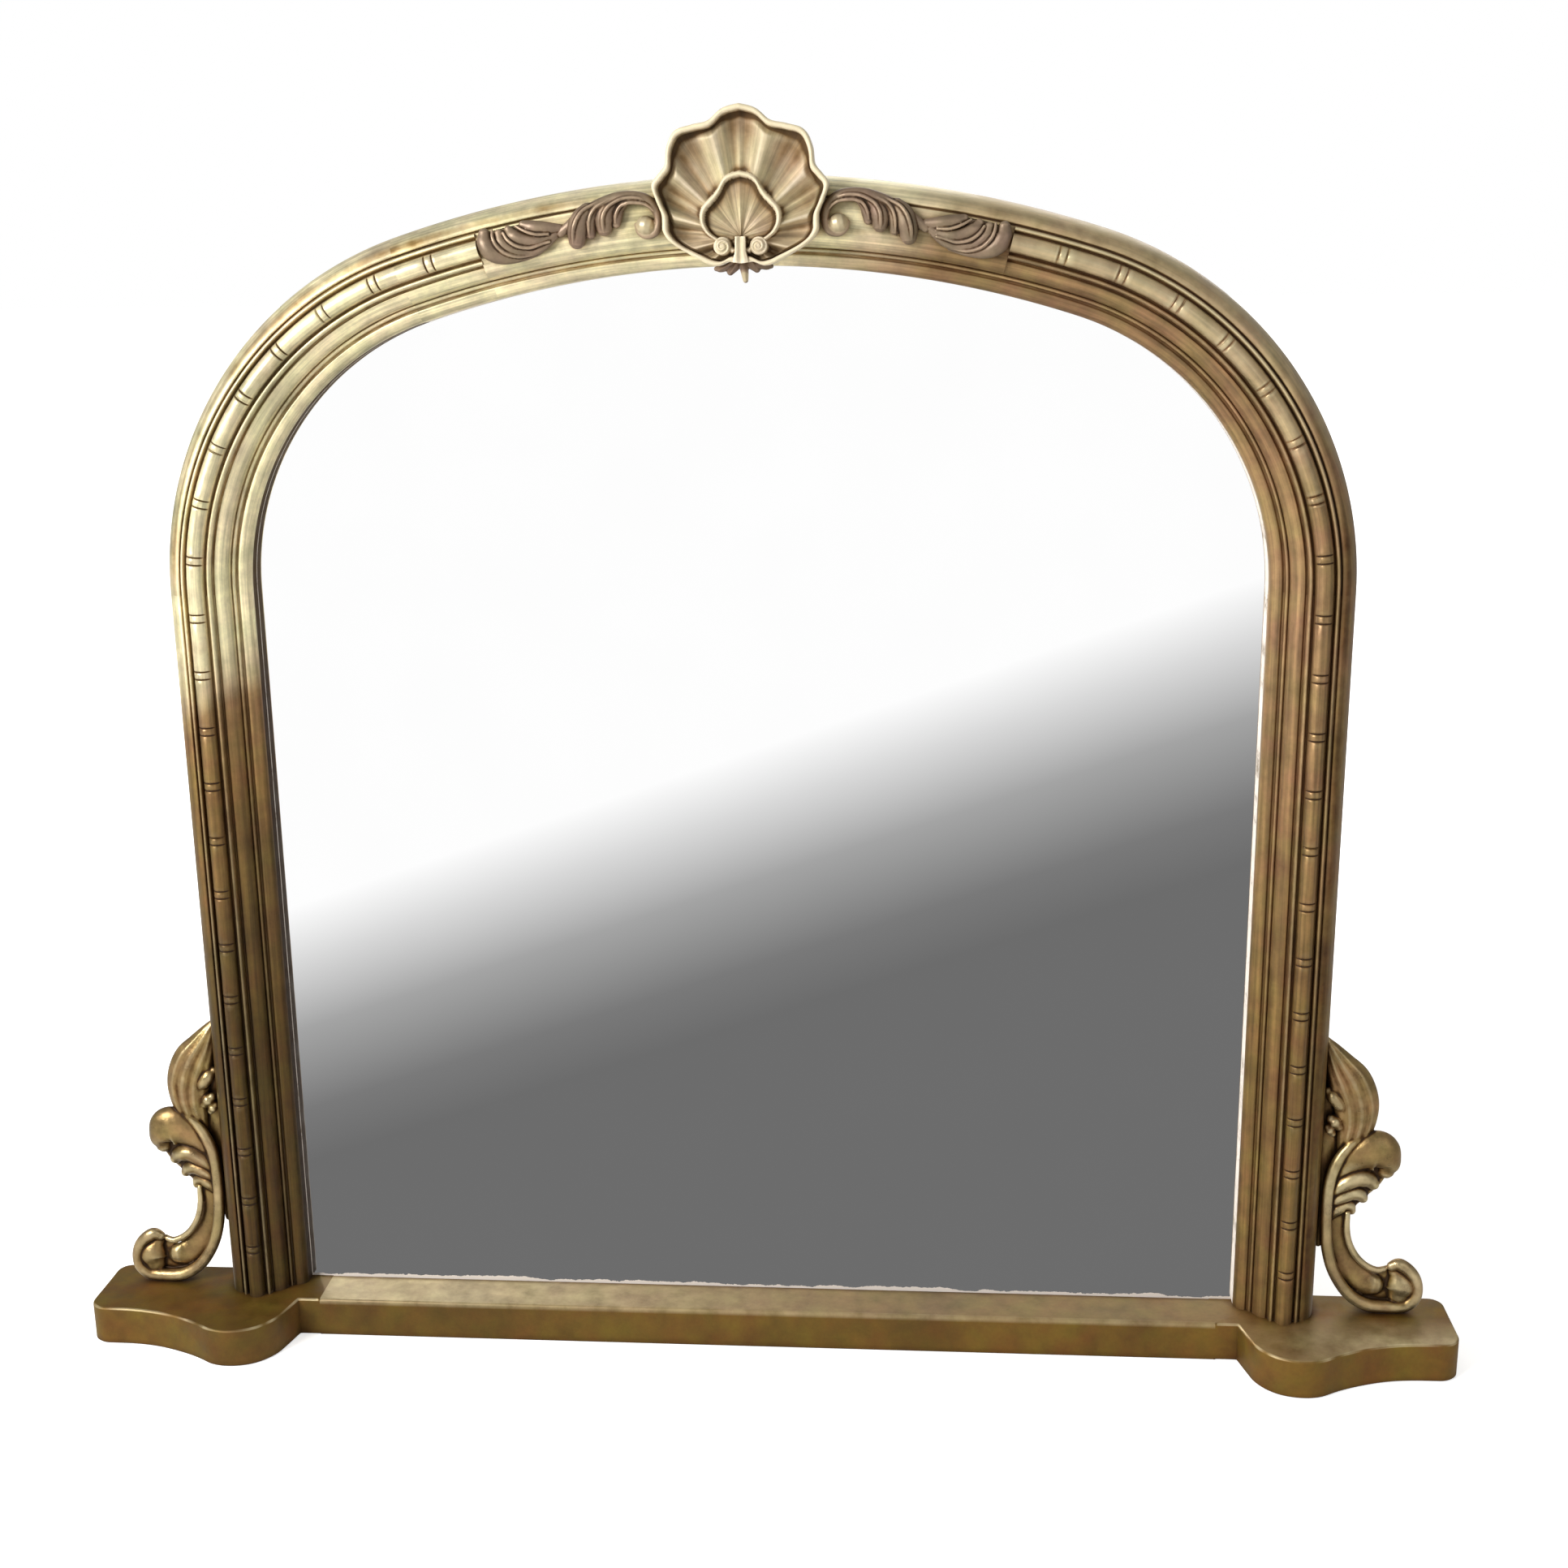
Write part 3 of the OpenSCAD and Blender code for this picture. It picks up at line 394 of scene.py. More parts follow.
        # What faces up on the right-hand foot block is lightened in patches towards its front.
        up = add(tree, "SeparateXYZ", {0: add(tree, "NewGeometry").outputs["Normal"]})
        up = add(tree, "MapRange", {0: up.outputs[2], 1: 0.7, 2: 0.95, 3: 0.0, 4: top_lightening})
        right = add(tree, "MapRange", {0: axes, 1: 0.5, 2: 0.66, 3: 0.0, 4: 1.0})
        near = add(tree, "MapRange", {0: axes.outputs[1], 1: -0.01, 2: -0.06, 3: 0.0, 4: 1.0})
        lightened_top = add(tree, "Math", {0: up, 1: right}, operation="MULTIPLY")
        lightened_top = add(tree, "Math", {0: lightened_top, 1: near}, operation="MULTIPLY")
        lightened_top = add(tree, "Math", {0: lightened_top, 1: blotch}, operation="MULTIPLY")
        worn_and_lit = add(tree, "MixRGB", {0: lightened_top, 1: worn_and_lit, 2: paint("worn_and_lit")})
    # Glaze in the hollows gives the lines from the stored relief, and painted shade from occlusion darkens the
    # corners between pieces.
    corners = add(tree, "AmbientOcclusion", {"Distance": 0.012}, samples=8)
    corners = add(tree, "MapRange", {0: corners.outputs["AO"], 1: 0.25, 2: 0.85, 3: corner, 4: 0.0})
    wander = add(tree, "TexNoise", {"Vector": place, "Scale": 22.0, "Detail": 4.0, "Roughness": 0.65})
    wander = add(tree, "MapRange", {0: wander, 1: 0.3, 2: 0.7, 3: 0.16 * mottle, 4: -0.16 * mottle})
    lying = add(tree, "Math", {0: relief, 1: wander}, operation="ADD")
    hollow = add(tree, "MapRange", {0: lying, 1: -0.1, 2: -0.85, 3: 0.0, 4: 1.0})
    dark = add(tree, "Math", {0: corners, 1: hollow}, operation="MAXIMUM")
    dark = add(tree, "Math", {0: dark, 1: glaze}, operation="MULTIPLY", use_clamp=True)
    # Thin glaze and painted shade stain the gold brown; where they are thick it is nearly umber.
    thin = add(tree, "MapRange", {0: dark, 1: 0.0, 2: 0.6, 3: 0.0, 4: 1.0})
    stained = add(tree, "MixRGB", {0: thin, 1: worn_and_lit, 2: paint("stain")}, blend_type="MULTIPLY")
    thick = add(tree, "MapRange", {0: dark, 1: 0.45, 2: 1.0, 3: 0.0, 4: 1.0})
    final = add(tree, "MixRGB", {0: thick, 1: stained, 2: paint("umber")})
    tree.links.new(final.outputs[0], shader.inputs["Base Color"])
    shader.inputs["Metallic"].default_value = metallic
    dull = add(tree, "MapRange", {0: blotch, 1: 0.3, 2: 0.7, 3: roughness - 0.07, 4: roughness + 0.1})
    dull = add(tree, "Math", {0: dark, 1: 0.25, 2: dull}, operation="MULTIPLY_ADD")
    tree.links.new(dull.outputs[0], shader.inputs["Roughness"])
    # Powder grain of 4 mm and gesso lumps of 20 mm, both well under a millimetre high
    bump = add(tree, "Bump", {"Height": fleck, "Strength": 0.25, "Distance": 0.4 * MM * bumpy})
    bump = add(tree, "Bump", {"Height": blotch, "Strength": 0.3, "Distance": MM * bumpy, "Normal": bump})
    tree.links.new(bump.outputs[0], shader.inputs["Normal"])
    return made


def bare_gesso(name):
    """Chalk gesso left ungilt where the frame laps the glass: chalky white, rubbed grey in patches."""
    made, tree, shader = start_material(name)
    place = add(tree, "TexCoord").outputs["Object"]
    patch = add(tree, "TexNoise", {"Vector": place, "Scale": 45.0, "Detail": 5.0, "Roughness": 0.7})
    shade = add(tree, "ValToRGB", {0: patch})
    ramp_stops(shade, [(0.32, linear("#8d7f6c")), (0.45, paint("gesso")), (0.8, linear("#efe8dc"))])
    tree.links.new(shade.outputs[0], shader.inputs["Base Color"])
    shader.inputs["Roughness"].default_value = 0.8
    bump = add(tree, "Bump", {"Height": patch, "Strength": 0.3, "Distance": 0.4 * MM})
    tree.links.new(bump.outputs[0], shader.inputs["Normal"])
    return made


def softwood(name, shade_name="board", grain_axis=2, cut_at=0.0, pale=1.0):
    """Sawn pine, left bare: straight grain 4 to 8 mm apart, darkened by age, with a dull dry surface."""
    made, tree, shader = start_material(name)
    place = add(tree, "TexCoord").outputs["Object"]
    scale = [90.0, 90.0, 90.0]
    scale[grain_axis] = 2.5
    # Each board was cut elsewhere in the log, so its grain starts elsewhere.
    drawn = add(tree, "Mapping", {"Vector": place, "Location": (cut_at, 0.0, cut_at), "Scale": scale})
    rings = add(tree, "TexNoise", {"Vector": drawn, "Scale": 1.6, "Detail": 5.0, "Distortion": 0.6})
    broad = add(tree, "TexNoise", {"Vector": place, "Scale": 7.0, "Detail": 2.0})
    shade = paint(shade_name)
    deep = [c * 0.5 for c in shade[:3]] + [1]
    light = [min(1, c * 1.25) for c in shade[:3]] + [1]
    grain = add(tree, "ValToRGB", {0: rings})
    ramp_stops(grain, [(0.3, deep), (0.48, shade), (0.7, light)])
    value = add(tree, "MapRange", {0: broad, 1: 0.3, 2: 0.7, 3: 0.8 * pale, 4: 1.1 * pale})
    aged = add(tree, "HueSaturation", {"Color": grain, "Value": value})
    tree.links.new(aged.outputs[0], shader.inputs["Base Color"])
    rough = add(tree, "MapRange", {0: rings, 1: 0.2, 2: 0.8, 3: 0.85, 4: 0.65})
    tree.links.new(rough.outputs[0], shader.inputs["Roughness"])
    bump = add(tree, "Bump", {"Height": rings, "Strength": 0.5, "Distance": 0.6 * MM})
    tree.links.new(bump.outputs[0], shader.inputs["Normal"])
    return made


def zinc_plate(name):
    """Zinc-plated steel: pressed and plated, so it is greyish bright with faint crystalline patches."""
    made, tree, shader = start_material(name)
    place = add(tree, "TexCoord").outputs["Object"]
    patch = add(tree, "TexVoronoi", {"Vector": place, "Scale": 450.0})
    film = add(tree, "TexNoise", {"Vector": place, "Scale": 120.0, "Detail": 4.0})
    shade = paint("zinc")
    colours = add(tree, "ValToRGB", {0: film})
    ramp_stops(colours, [(0.35, [c * 0.6 for c in shade[:3]] + [1]), (0.6, shade)])
    tree.links.new(colours.outputs[0], shader.inputs["Base Color"])
    shader.inputs["Metallic"].default_value = 1.0
    rough = add(tree, "MapRange", {0: patch.outputs["Distance"], 1: 0.0, 2: 1.0, 3: 0.28, 4: 0.5})
    tree.links.new(rough.outputs[0], shader.inputs["Roughness"])
    bump = add(tree, "Bump", {"Height": film, "Strength": 0.2, "Distance": 0.2 * MM})
    tree.links.new(bump.outputs[0], shader.inputs["Normal"])
    return made


def silvered_plate(name):
    """Silvered plate glass: an even mirror whose silver has crept back in a ragged sliver at its foot."""
    made, tree, shader = start_material(name)
    place = add(tree, "TexCoord").outputs["Object"]
    axes = add(tree, "SeparateXYZ", {0: place})
    ragged = add(tree, "TexNoise", {"Vector": place, "Scale": 26.0, "Detail": 5.0, "Roughness": 0.7})
    reach = add(tree, "MapRange", {0: ragged, 1: 0.35, 2: 0.7, 3: 1.0 * MM, 4: 6.0 * MM})
    foot = sizes().plinth_h * MM
    edge = add(tree, "Math", {0: reach, 1: foot}, operation="ADD")
    bare = add(tree, "Math", {0: axes.outputs[2], 1: edge}, operation="LESS_THAN")
    haze = add(tree, "TexNoise", {"Vector": place, "Scale": 9.0, "Detail": 2.0})
    clear = add(tree, "MapRange", {0: haze, 1: 0.3, 2: 0.7, 3: 0.99, 4: 1.0})
    tint = add(tree, "HueSaturation", {"Color": paint("plate"), "Value": clear})
    final = add(tree, "MixRGB", {0: bare, 1: tint, 2: linear("#d8cfc6")})
    tree.links.new(final.outputs[0], shader.inputs["Base Color"])
    silver = add(tree, "Math", {0: 1.0, 1: bare}, operation="SUBTRACT")
    tree.links.new(silver.outputs[0], shader.inputs["Metallic"])
    rough = add(tree, "MapRange", {0: bare, 1: 0.0, 2: 1.0, 3: 0.0, 4: 0.5})
    tree.links.new(rough.outputs[0], shader.inputs["Roughness"])
    return made


# The moulding's ramp of painted light and shade, from lit to shaded
MOULDING_SHADES = [(0.0, "pale"), (0.5, "mid"), (0.68, "low"), (1.0, "deep")]
# Each finish, with the function that makes it, its name and its settings
FINISHES = {
    "gilt_moulding": (
        gilt, "Gilt paint, brushed",
        dict(shades=MOULDING_SHADES, glaze=0.9, wear=0.6, streaks=0.42, corner=0.55),
    ),
    "gilt_plinth": (
        gilt, "Gilt paint, browned",
        dict(shades=[(0, "plinth")], glaze=0.7, wear=0.9, roughness=0.5, top_lightening=0.7, plinth=True),
    ),
    "gilt_scroll": (
        gilt, "Gilt paint, carved scroll",
        dict(shades=[(0, "scroll")], metallic=0.75, roughness=0.32, rubbing=0.5, bumpy=2.5, mottle=2.0),
    ),
    "gilt_shell": (
        gilt, "Gilt paint, glazed shell",
        dict(
            shades=[(0, "shell")], glaze=0.75, streaks=0.45, metallic=0.2, roughness=0.55,
            rub="cream", rubbing=0.85, corner=0.45,
        ),
    ),
    "bronzed": (
        gilt, "Bronzed gilt paint",
        dict(shades=[(0, "bronze")], metallic=0.4, rub="bronze_worn", corner=0.7, mottle=1.4),
    ),
    "gesso": (bare_gesso, "Gesso, bare", {}),
    "softwood": (softwood, "Pine, sawn", {}),
    "board_left": (softwood, "Pine, planed, left board", dict(shade_name="panel", cut_at=37.0, pale=0.93)),
    "board_middle": (softwood, "Pine, planed, middle board", dict(shade_name="panel", cut_at=11.0, pale=1.06)),
    "board_right": (softwood, "Pine, planed, right board", dict(shade_name="panel", cut_at=23.0, pale=0.99)),
    "softwood_cross": (softwood, "Pine, sawn across", dict(grain_axis=0)),
    "zinc": (zinc_plate, "Steel, zinc plated", {}),
    "plate": (silvered_plate, "Plate glass, silvered", {}),
}


def finish_of(key):
    """The finish with this key, made once."""
    make, name, settings = FINISHES[key]
    return bpy.data.materials.get(name) or make(name, **settings)


# ---- moulding ----


def ellipse(cx, cy, rx, ry, start, end, count):
    angles = np.radians(np.linspace(start, end, count + 1))
    return [(cx + rx * math.cos(a), cy + ry * math.sin(a)) for a in angles]


def moulding_front(frieze):
    """The front of the moulding's section from the outer side to the lip, as (distance out, depth)."""
    outer = [(OUTER, 70)] + ellipse(OUTER_TURN, 50, OUTER - OUTER_TURN, 40, 0, -90, 24)
    middle = [(OUTER_TURN, FILLET_DEPTH), (15.5, FILLET_DEPTH)]
    if frieze:
        middle += [(15.5, 10), (-17.5, 10)]
        ovolo = ellipse(-17.5, 30, 13.5, 20, -90, -180, 14)[1:]
    else:
        middle += ellipse(13.25, 10, 2.25, 4, 0, -180, 12) + [(11, FILLET_DEPTH), (BEAD, FILLET_DEPTH)]
        middle += ellipse(0, 10, BEAD, 10, 0, -180, 24) + [(-BEAD, FILLET_DEPTH), (-11, FILLET_DEPTH)]
        middle += ellipse(-13.25, 11.5, 2.25, 3.5, 0, -180, 12) + [(-15.5, 17), (-17.5, 17)]
        ovolo = ellipse(-17.5, 30, 13.5, 15, -90, -180, 14)
    inner = ellipse(-33, 30, 2, 2, 0, -180, 8) + [(-35, 33), (-37.5, 33)]
    inner += ellipse(-37.5, 42, 12, 11, -90, -180, 14) + [(-49.5, GLASS_FACE)]
    return outer + middle + ovolo + inner


def moulding_section(frieze):
    """The closed section with softened edges, its relief, and how many of its points are the front."""
    line = np.array(moulding_front(frieze), float)
    points = [line[0]]
    for a, b in zip(line[:-1], line[1:]):
        gap = 2.6 if min(a[0], b[0]) > OUTER_TURN + 0.1 else 0.95
        count = max(1, int(round(np.hypot(*(b - a)) / gap)))
        points += [a + (b - a) * i / count for i in range(1, count + 1)]
    front = np.array(points)
    for _ in range(2):
        front[1:-1] = 0.25 * front[:-2] + 0.5 * front[1:-1] + 0.25 * front[2:]
    along = np.concatenate([[0], np.cumsum(np.hypot(*np.diff(front, axis=0).T))])
    weights = np.exp(-(((along[:, None] - along[None, :]) / 4.5) ** 2))
    level = (weights @ front[:, 1]) / weights.sum(1)
    relief = (level - front[:, 1]) / 2.6
    relief[along < 22] = 0
    # A thin brown glaze has stayed over the bead or the frieze and over the top of the outer band.
    out = front[:, 0]
    relief -= 0.24 * (np.abs(out) < 17) if frieze else 0.25 * np.clip(1 - (np.abs(out) / BEAD) ** 6, 0, 1)
    relief -= 0.3 * np.clip(1 - (np.abs(out - 20) / 8) ** 2, 0, 1) * (out > 17)
    back = [(GLASS_SIDE, GLASS_FACE), (GLASS_SIDE, GLASS_BACK)]
    back += [(BOARD_SIDE, GLASS_BACK), (BOARD_SIDE, BOARD_BACK)]
    return np.vstack([front, back]), np.concatenate([relief, np.zeros(len(back))]), len(front)


def along_with_cuts(start, end, step, pairs, s):
    """Lengths from start to end with extra ones at each cut, and how deep the cut is at each."""
    plain = np.linspace(start, end, max(2, int(math.ceil((end - start) / step)) + 1))
    half = s.cut_width / 2
    cut = ((-half - 0.5, 0), (-half, 0.15), (-half / 2, 1), (half / 2, 1), (half, 0.15), (half + 0.5, 0))
    block = s.cut_gap / 2 + half + 1.4
    profile = [(side * s.cut_gap + off, share) for side in (-0.5, 0.5) for off, share in cut]
    # The little block between the cuts is rubbed, and so is the bead just past them.
    profile += [(off, -0.35) for off in (-block, -1.5, 1.5, block)]
    made = [(place, 0.0) for place in plain]
    made += [(pair + off, share) for pair in pairs for off, share in profile]
    places, depth = np.array(made).T
    order = np.argsort(places)
    places, depth = places[order], depth[order]
    keep = (places >= start) & (places <= end)
    return places[keep], depth[keep]


def stations(kind, s):
    """Places along one piece of the right half: (x, z, outward x, outward z, length from the plinth)."""
    split = math.atan2(s.rise, s.shoulder_x)
    stop = math.pi / 2 - s.spray_len / s.crown_r
    tall, arc = s.spring_z - s.plinth_h, s.shoulder_r * split
    first = 0.62 * s.cut_pitch
    if kind == "upright":
        pairs = np.arange(tall + first - s.cut_pitch, 2 * s.cut_gap, -s.cut_pitch)
        places, cuts = along_with_cuts(0, tall, 24, pairs, s)
        return np.array([(s.bead_half, s.plinth_h + p, 1.0, 0.0, p) for p in places]), cuts
    if kind == "shoulder":
        places, cuts = along_with_cuts(0, arc, 9, np.arange(first, arc - s.cut_gap, s.cut_pitch), s)
        radius, x, z, turned, before = s.shoulder_r, s.shoulder_x, s.spring_z, 0.0, tall
    else:
        whole = s.crown_r * (math.pi - 2 * split)
        next_pair = s.cut_pitch * math.ceil((arc + s.cut_gap - first) / s.cut_pitch) + first - arc
        pairs = np.arange(next_pair, whole / 2 - s.spray_len - s.cut_gap, s.cut_pitch)
        low, high, pairs = {
            "crown_end": (split, stop, pairs),
            "crown_middle": (stop, math.pi - stop, []),
            "crown_far": (math.pi - stop, math.pi - split, whole - pairs),
        }[kind]
        places, cuts = along_with_cuts(s.crown_r * (low - split), s.crown_r * (high - split), 12, pairs, s)
        radius, x, z, turned, before = s.crown_r, 0.0, s.crown_z, split, tall + arc
    a = turned + places / radius
    out = np.stack([np.cos(a), np.sin(a)])
    return np.stack([x + radius * out[0], z + radius * out[1], *out, before + places], -1), cuts


def swept_relief(relief, section, rows, cut, on_bead, kind, side):
    """The section's relief changed along the piece by wiping, by painted light and shade, and by the cuts."""
    out = section[:, 0]
    if kind == "upright":
        # Hands have wiped the glaze out of the lower hollows.
        relief = np.where(relief < 0, (0.45 if side > 0 else 0.75) * relief, relief)
    if side < 0 and kind != "crown_end":
        # Painted shade: the inner edge over the glass is painted umber on the left, where it faces away from the
        # light.
        relief = np.where(over_glass(section), -0.95, relief)
    # Painted light: the bead and the outer band over the right of the arch are painted paler, as if lit from
    # above.
    high, right = np.clip((rows[:, 1] - 880) / 200, 0, 1), np.clip((rows[:, 0] * side - 60) / 120, 0, 1)
    painted_band_light = 1.45 * (high * right)[:, None] * np.clip((out + 11) / 4, 0, 1) * np.clip((38.5 - out) / 2.5, 0, 1)
    made = relief + painted_band_light * (relief > -0.5)
    # Painted shade: the outer band is darker, most of all on the right where it faces away from the light, and not
    # on the left upright.
    band = np.clip(1 - (np.abs(out - (21 if side > 0 else 23)) / 9.5) ** 2, 0, 1)
    band *= kind != "upright" or side > 0
    off_middle = np.clip(np.abs(rows[:, 0]) / 350, 0.3, 1)[:, None]
    return made - (0.4 if side > 0 else 0.22) * off_middle * band - 1.1 * cut[:, None] * on_bead


def over_glass(section):
    """Which points of the section lie on the inner edge over the glass."""
    return (section[:, 0] < -48.9) & (section[:, 1] > 42)


def sweep_moulding(kinds, side, s):
    """Points, faces, finish of each face, relief and along/across lengths of one piece of moulding."""
    points, faces, indices, reliefs, uvs = [], [], [], [], []
    for kind in kinds:
        section, relief, front_count = moulding_section(kind == "crown_middle")
        rows, cut = stations(kind, s)
        out, depth, cols = section[:, 0], section[:, 1], len(section)
        on_bead = np.clip(1 - (out / 9.6) ** 4, 0, 1) * (np.abs(out) < 9.6) * (depth < 12)
        x = rows[:, 0:1] + rows[:, 2:3] * out
        z = rows[:, 1:2] + rows[:, 3:4] * out
        y = depth + cut[:, None] * on_bead * s.cut_depth + s.front
        start = sum(map(len, points))
        faces += [tuple(i + start for i in f) for f in skin(len(rows), cols)]
        points.append(np.stack([side * x, y, z], -1).reshape(-1, 3))
        # Bare wood behind, gilding in front, and bare gesso on the lip between them; on the right the gesso covers
        # most of the lip, painted light where that face is lit
        behind = np.arange(cols) >= front_count - 1
        lip = ~behind & over_glass(section) & (depth > (44 if side > 0 else 53.2))
        indices += np.tile(np.where(behind, 1, 2 * lip), len(rows) - 1).tolist() + [1, 1]
        reliefs.append(swept_relief(relief, section, rows, cut, on_bead, kind, side).ravel())
        across = np.concatenate([[0], np.cumsum(np.hypot(*np.diff(section, axis=0).T))])
        along = rows[:, 4:5] + (4000 if side < 0 else 0)
        uvs.append(np.stack(np.broadcast_arrays(along, across[None, :]), -1).reshape(-1, 2))
    return np.vstack(points), faces, indices, np.concatenate(reliefs), np.vstack(uvs)


class OVERMANTEL_OT_moulding(bpy.types.Operator):
    """Sweeps the gilt moulding up both uprights and over the arch, with its pairs of cuts"""

    bl_idname = "overmantel.moulding"
    bl_label = "Moulding"

    def execute(self, context):
        pieces = [("crown_moulding", "crown_arch", ["crown_end", "crown_middle", "crown_far"], 1)]
        for side, word in SIDES:
            for kind in ("upright", "shoulder"):
                pieces.append((f"{kind}_moulding_{word}", f"{word}_{kind}", [kind], side))
        for name, node, kinds, side in pieces:
            points, faces, indices, relief, uv = sweep_moulding(kinds, side, sizes())
            finishes = ["gilt_moulding", "softwood", "gesso"]
            piece = make_mesh(name, points, faces, finishes, indices=indices, relief=relief, uv=uv)
            stand_for(node)
        return {"FINISHED"}


# ---- plinth ----


def cut_boxes(piece, boxes):
    """Cuts boxes, given by two corners in millimetres, out of a piece."""
    faces = [(0, 1, 3, 2), (4, 6, 7, 5), (0, 4, 5, 1), (2, 3, 7, 6), (0, 2, 6, 4), (1, 5, 7, 3)]
    for low, high in boxes:
        mesh = bpy.data.meshes.new("cutter")
        xs, ys, zs = np.stack([low, high], -1) * MM
        mesh.from_pydata([(x, y, z) for x in xs for y in ys for z in zs], [], faces)
        cutter = bpy.data.objects.new("cutter", mesh)
        bpy.context.scene.collection.objects.link(cutter)
        step = piece.modifiers.new("cut", "BOOLEAN")
        step.object, step.operation, step.solver = cutter, "DIFFERENCE", "EXACT"
        piece.data = evaluated(piece)
        bpy.data.objects.remove(cutter)
    tidy_faces(piece.data, 35)


def foot_outline(s):
    """Plan of the right foot block with its serpentine front, from the back inner corner on."""
    bulge_r, bulge_front, nose_front, nose_r, heel_r, nose_length = 52.0, 73.5, 32.0, 22.0, 16.0, 146.0
    bulge_x, corner_x = s.bead_half + 0.19 * bulge_r, s.bead_half - 0.96 * bulge_r
    bulge_y = s.front - bulge_front + bulge_r
    end_x = s.flank + nose_length
    reach = math.hypot(corner_x - bulge_x, s.front - bulge_y)
    inner = math.degrees(math.atan2(s.front - bulge_y, corner_x - bulge_x) + math.acos(bulge_r / reach))
    hollow_x = end_x - 1.6 * nose_r
    rise, run = nose_front - bulge_front + bulge_r, hollow_x - bulge_x
    hollow_r = (run * run + rise * rise - bulge_r * bulge_r) / (2 * (bulge_r - rise))
    hollow_y = s.front - nose_front - hollow_r
    join = math.degrees(math.atan2(hollow_y - bulge_y, hollow_x - bulge_x))
    line = [(RAIL_HALF, s.back), (RAIL_HALF, s.front), (corner_x, s.front)]
    line += ellipse(bulge_x, bulge_y, bulge_r, bulge_r, inner % 360, 360 + join, 60)
    line += ellipse(hollow_x, hollow_y, hollow_r, hollow_r, 180 + join, 90, 24)
    line += ellipse(end_x - nose_r, s.front - nose_front + nose_r, nose_r, nose_r, -90, 0, 20)
    line += ellipse(end_x - heel_r, s.back - heel_r, heel_r, heel_r, 0, 90, 12)
    return np.array(line)


def even_line(line, step):
    """A closed line resampled every step or so, its corners kept."""
    made = []
    for a, b in zip(line, np.roll(line, -1, 0)):
        count = max(1, int(math.ceil(np.hypot(*(b - a)) / step)))
        made += [a + (b - a) * i / count for i in range(count)]
    return np.array(made)


def rounded_board(line, height, wear, step=3.0):
    """A board with this plan whose top and bottom edges are rubbed round, with its relief."""
    line = even_line(line, step)
    tangent = np.roll(line, -1, 0) - np.roll(line, 1, 0)
    tangent /= np.maximum(np.hypot(*tangent.T), 1e-6)[:, None]
    inward = np.stack([-tangent[:, 1], tangent[:, 0]], -1)
    run = np.arange(len(line)) * step
    # The edge was rubbed by hand, so its roundness changes along its run; the end at the rail stays square.
    loose = (1 + 0.15 * np.sin(run / 31) + 0.12 * np.sin(run / 13 + 1)) * (line[:, 0] > RAIL_HALF + 0.5)
    rings = [(0.5 * wear, 0, 0.2), (0, 0.5 * wear, 0.2)]
    rings += [(0, z, 0) for z in np.linspace(3, height - 3 * wear, 5)]
    for degrees in (0, 22, 45, 68, 90):
        a = math.radians(degrees)
        crest = 0.7 if 10 < degrees < 80 else 0.0
        rings.append((wear * (1 - math.cos(a)), height - wear * (1 - math.sin(a)), crest))
    uneven = (0.75 + 0.35 * np.sin(run / 11 + 2 * np.sin(run / 27))) * (loose > 0)
    points, relief = [], []
    for inset, z, crest in rings:
        points.append(np.column_stack([line + inward * inset * loose[:, None], np.full(len(line), z)]))
        relief.append(crest * uneven)
    return np.vstack(points), skin(len(rings), len(line)), np.concatenate(relief)


class OVERMANTEL_OT_plinth(bpy.types.Operator):
    """Makes the rail and the two serpentine foot blocks, with rubbed edges and rebates for glass and boards"""

    bl_idname = "overmantel.plinth"
    bl_label = "Plinth"

    def execute(self, context):
        s = sizes()
        front, back, h, wear = s.front, s.back, s.plinth_h, s.edge_wear
        # The rebates as (how far in, how far forward of the back, how far below the top)
        glass, board = (GLASS_SIDE, 15, 10), (BOARD_SIDE, 6, 22)
        for side, word in SIDES:
            points, faces, relief = rounded_board(foot_outline(s), h, wear)
            points[:, 0] *= side
            piece = make_mesh(f"foot_{word}", points, faces, ["gilt_plinth"], sharp=35, relief=relief)
            boxes = []
            for reach, forward, below in (glass, board):
                near, far = sorted([side * (RAIL_HALF - 30), side * (s.bead_half + reach)])
                boxes.append(((near, back - forward, h - below), (far, back + 9, h + 9)))
            cut_boxes(piece, boxes)
            piece.visible_glossy = False
            stand_for(f"{word}_foot_block")
        section = [(back, 0), (front + 0.8, 0), (front, 0.8)]
        section += [(front, z) for z in np.linspace(6, h - 3 * wear, 5)]
        section += ellipse(front + wear, h - wear, wear, wear, 180, 90, 5)
        section += [(y, h) for y in np.linspace(front + 3 * wear, back - 16, 7)] + [(back - 15, h - 0.6)]
        section += [(back - 15, h - 10), (back - 6, h - 10), (back - 6, h - 22), (back, h - 22)]
        places = np.linspace(-RAIL_HALF, RAIL_HALF, 120)
        points = [(x, y, z) for x in places for y, z in section]
        crest = [0.6 if (y < front + 1.5 * wear and z > h - 1.5 * wear) else 0.0 for y, z in section]
        faces, relief = skin(len(places), len(section)), np.tile(crest, len(places))
        piece = make_mesh("rail", points, faces, ["gilt_plinth"], sharp=35, relief=relief)
        piece.visible_glossy = False
        stand_for("plinth_rail")
        return {"FINISHED"}


# ---- shell ----

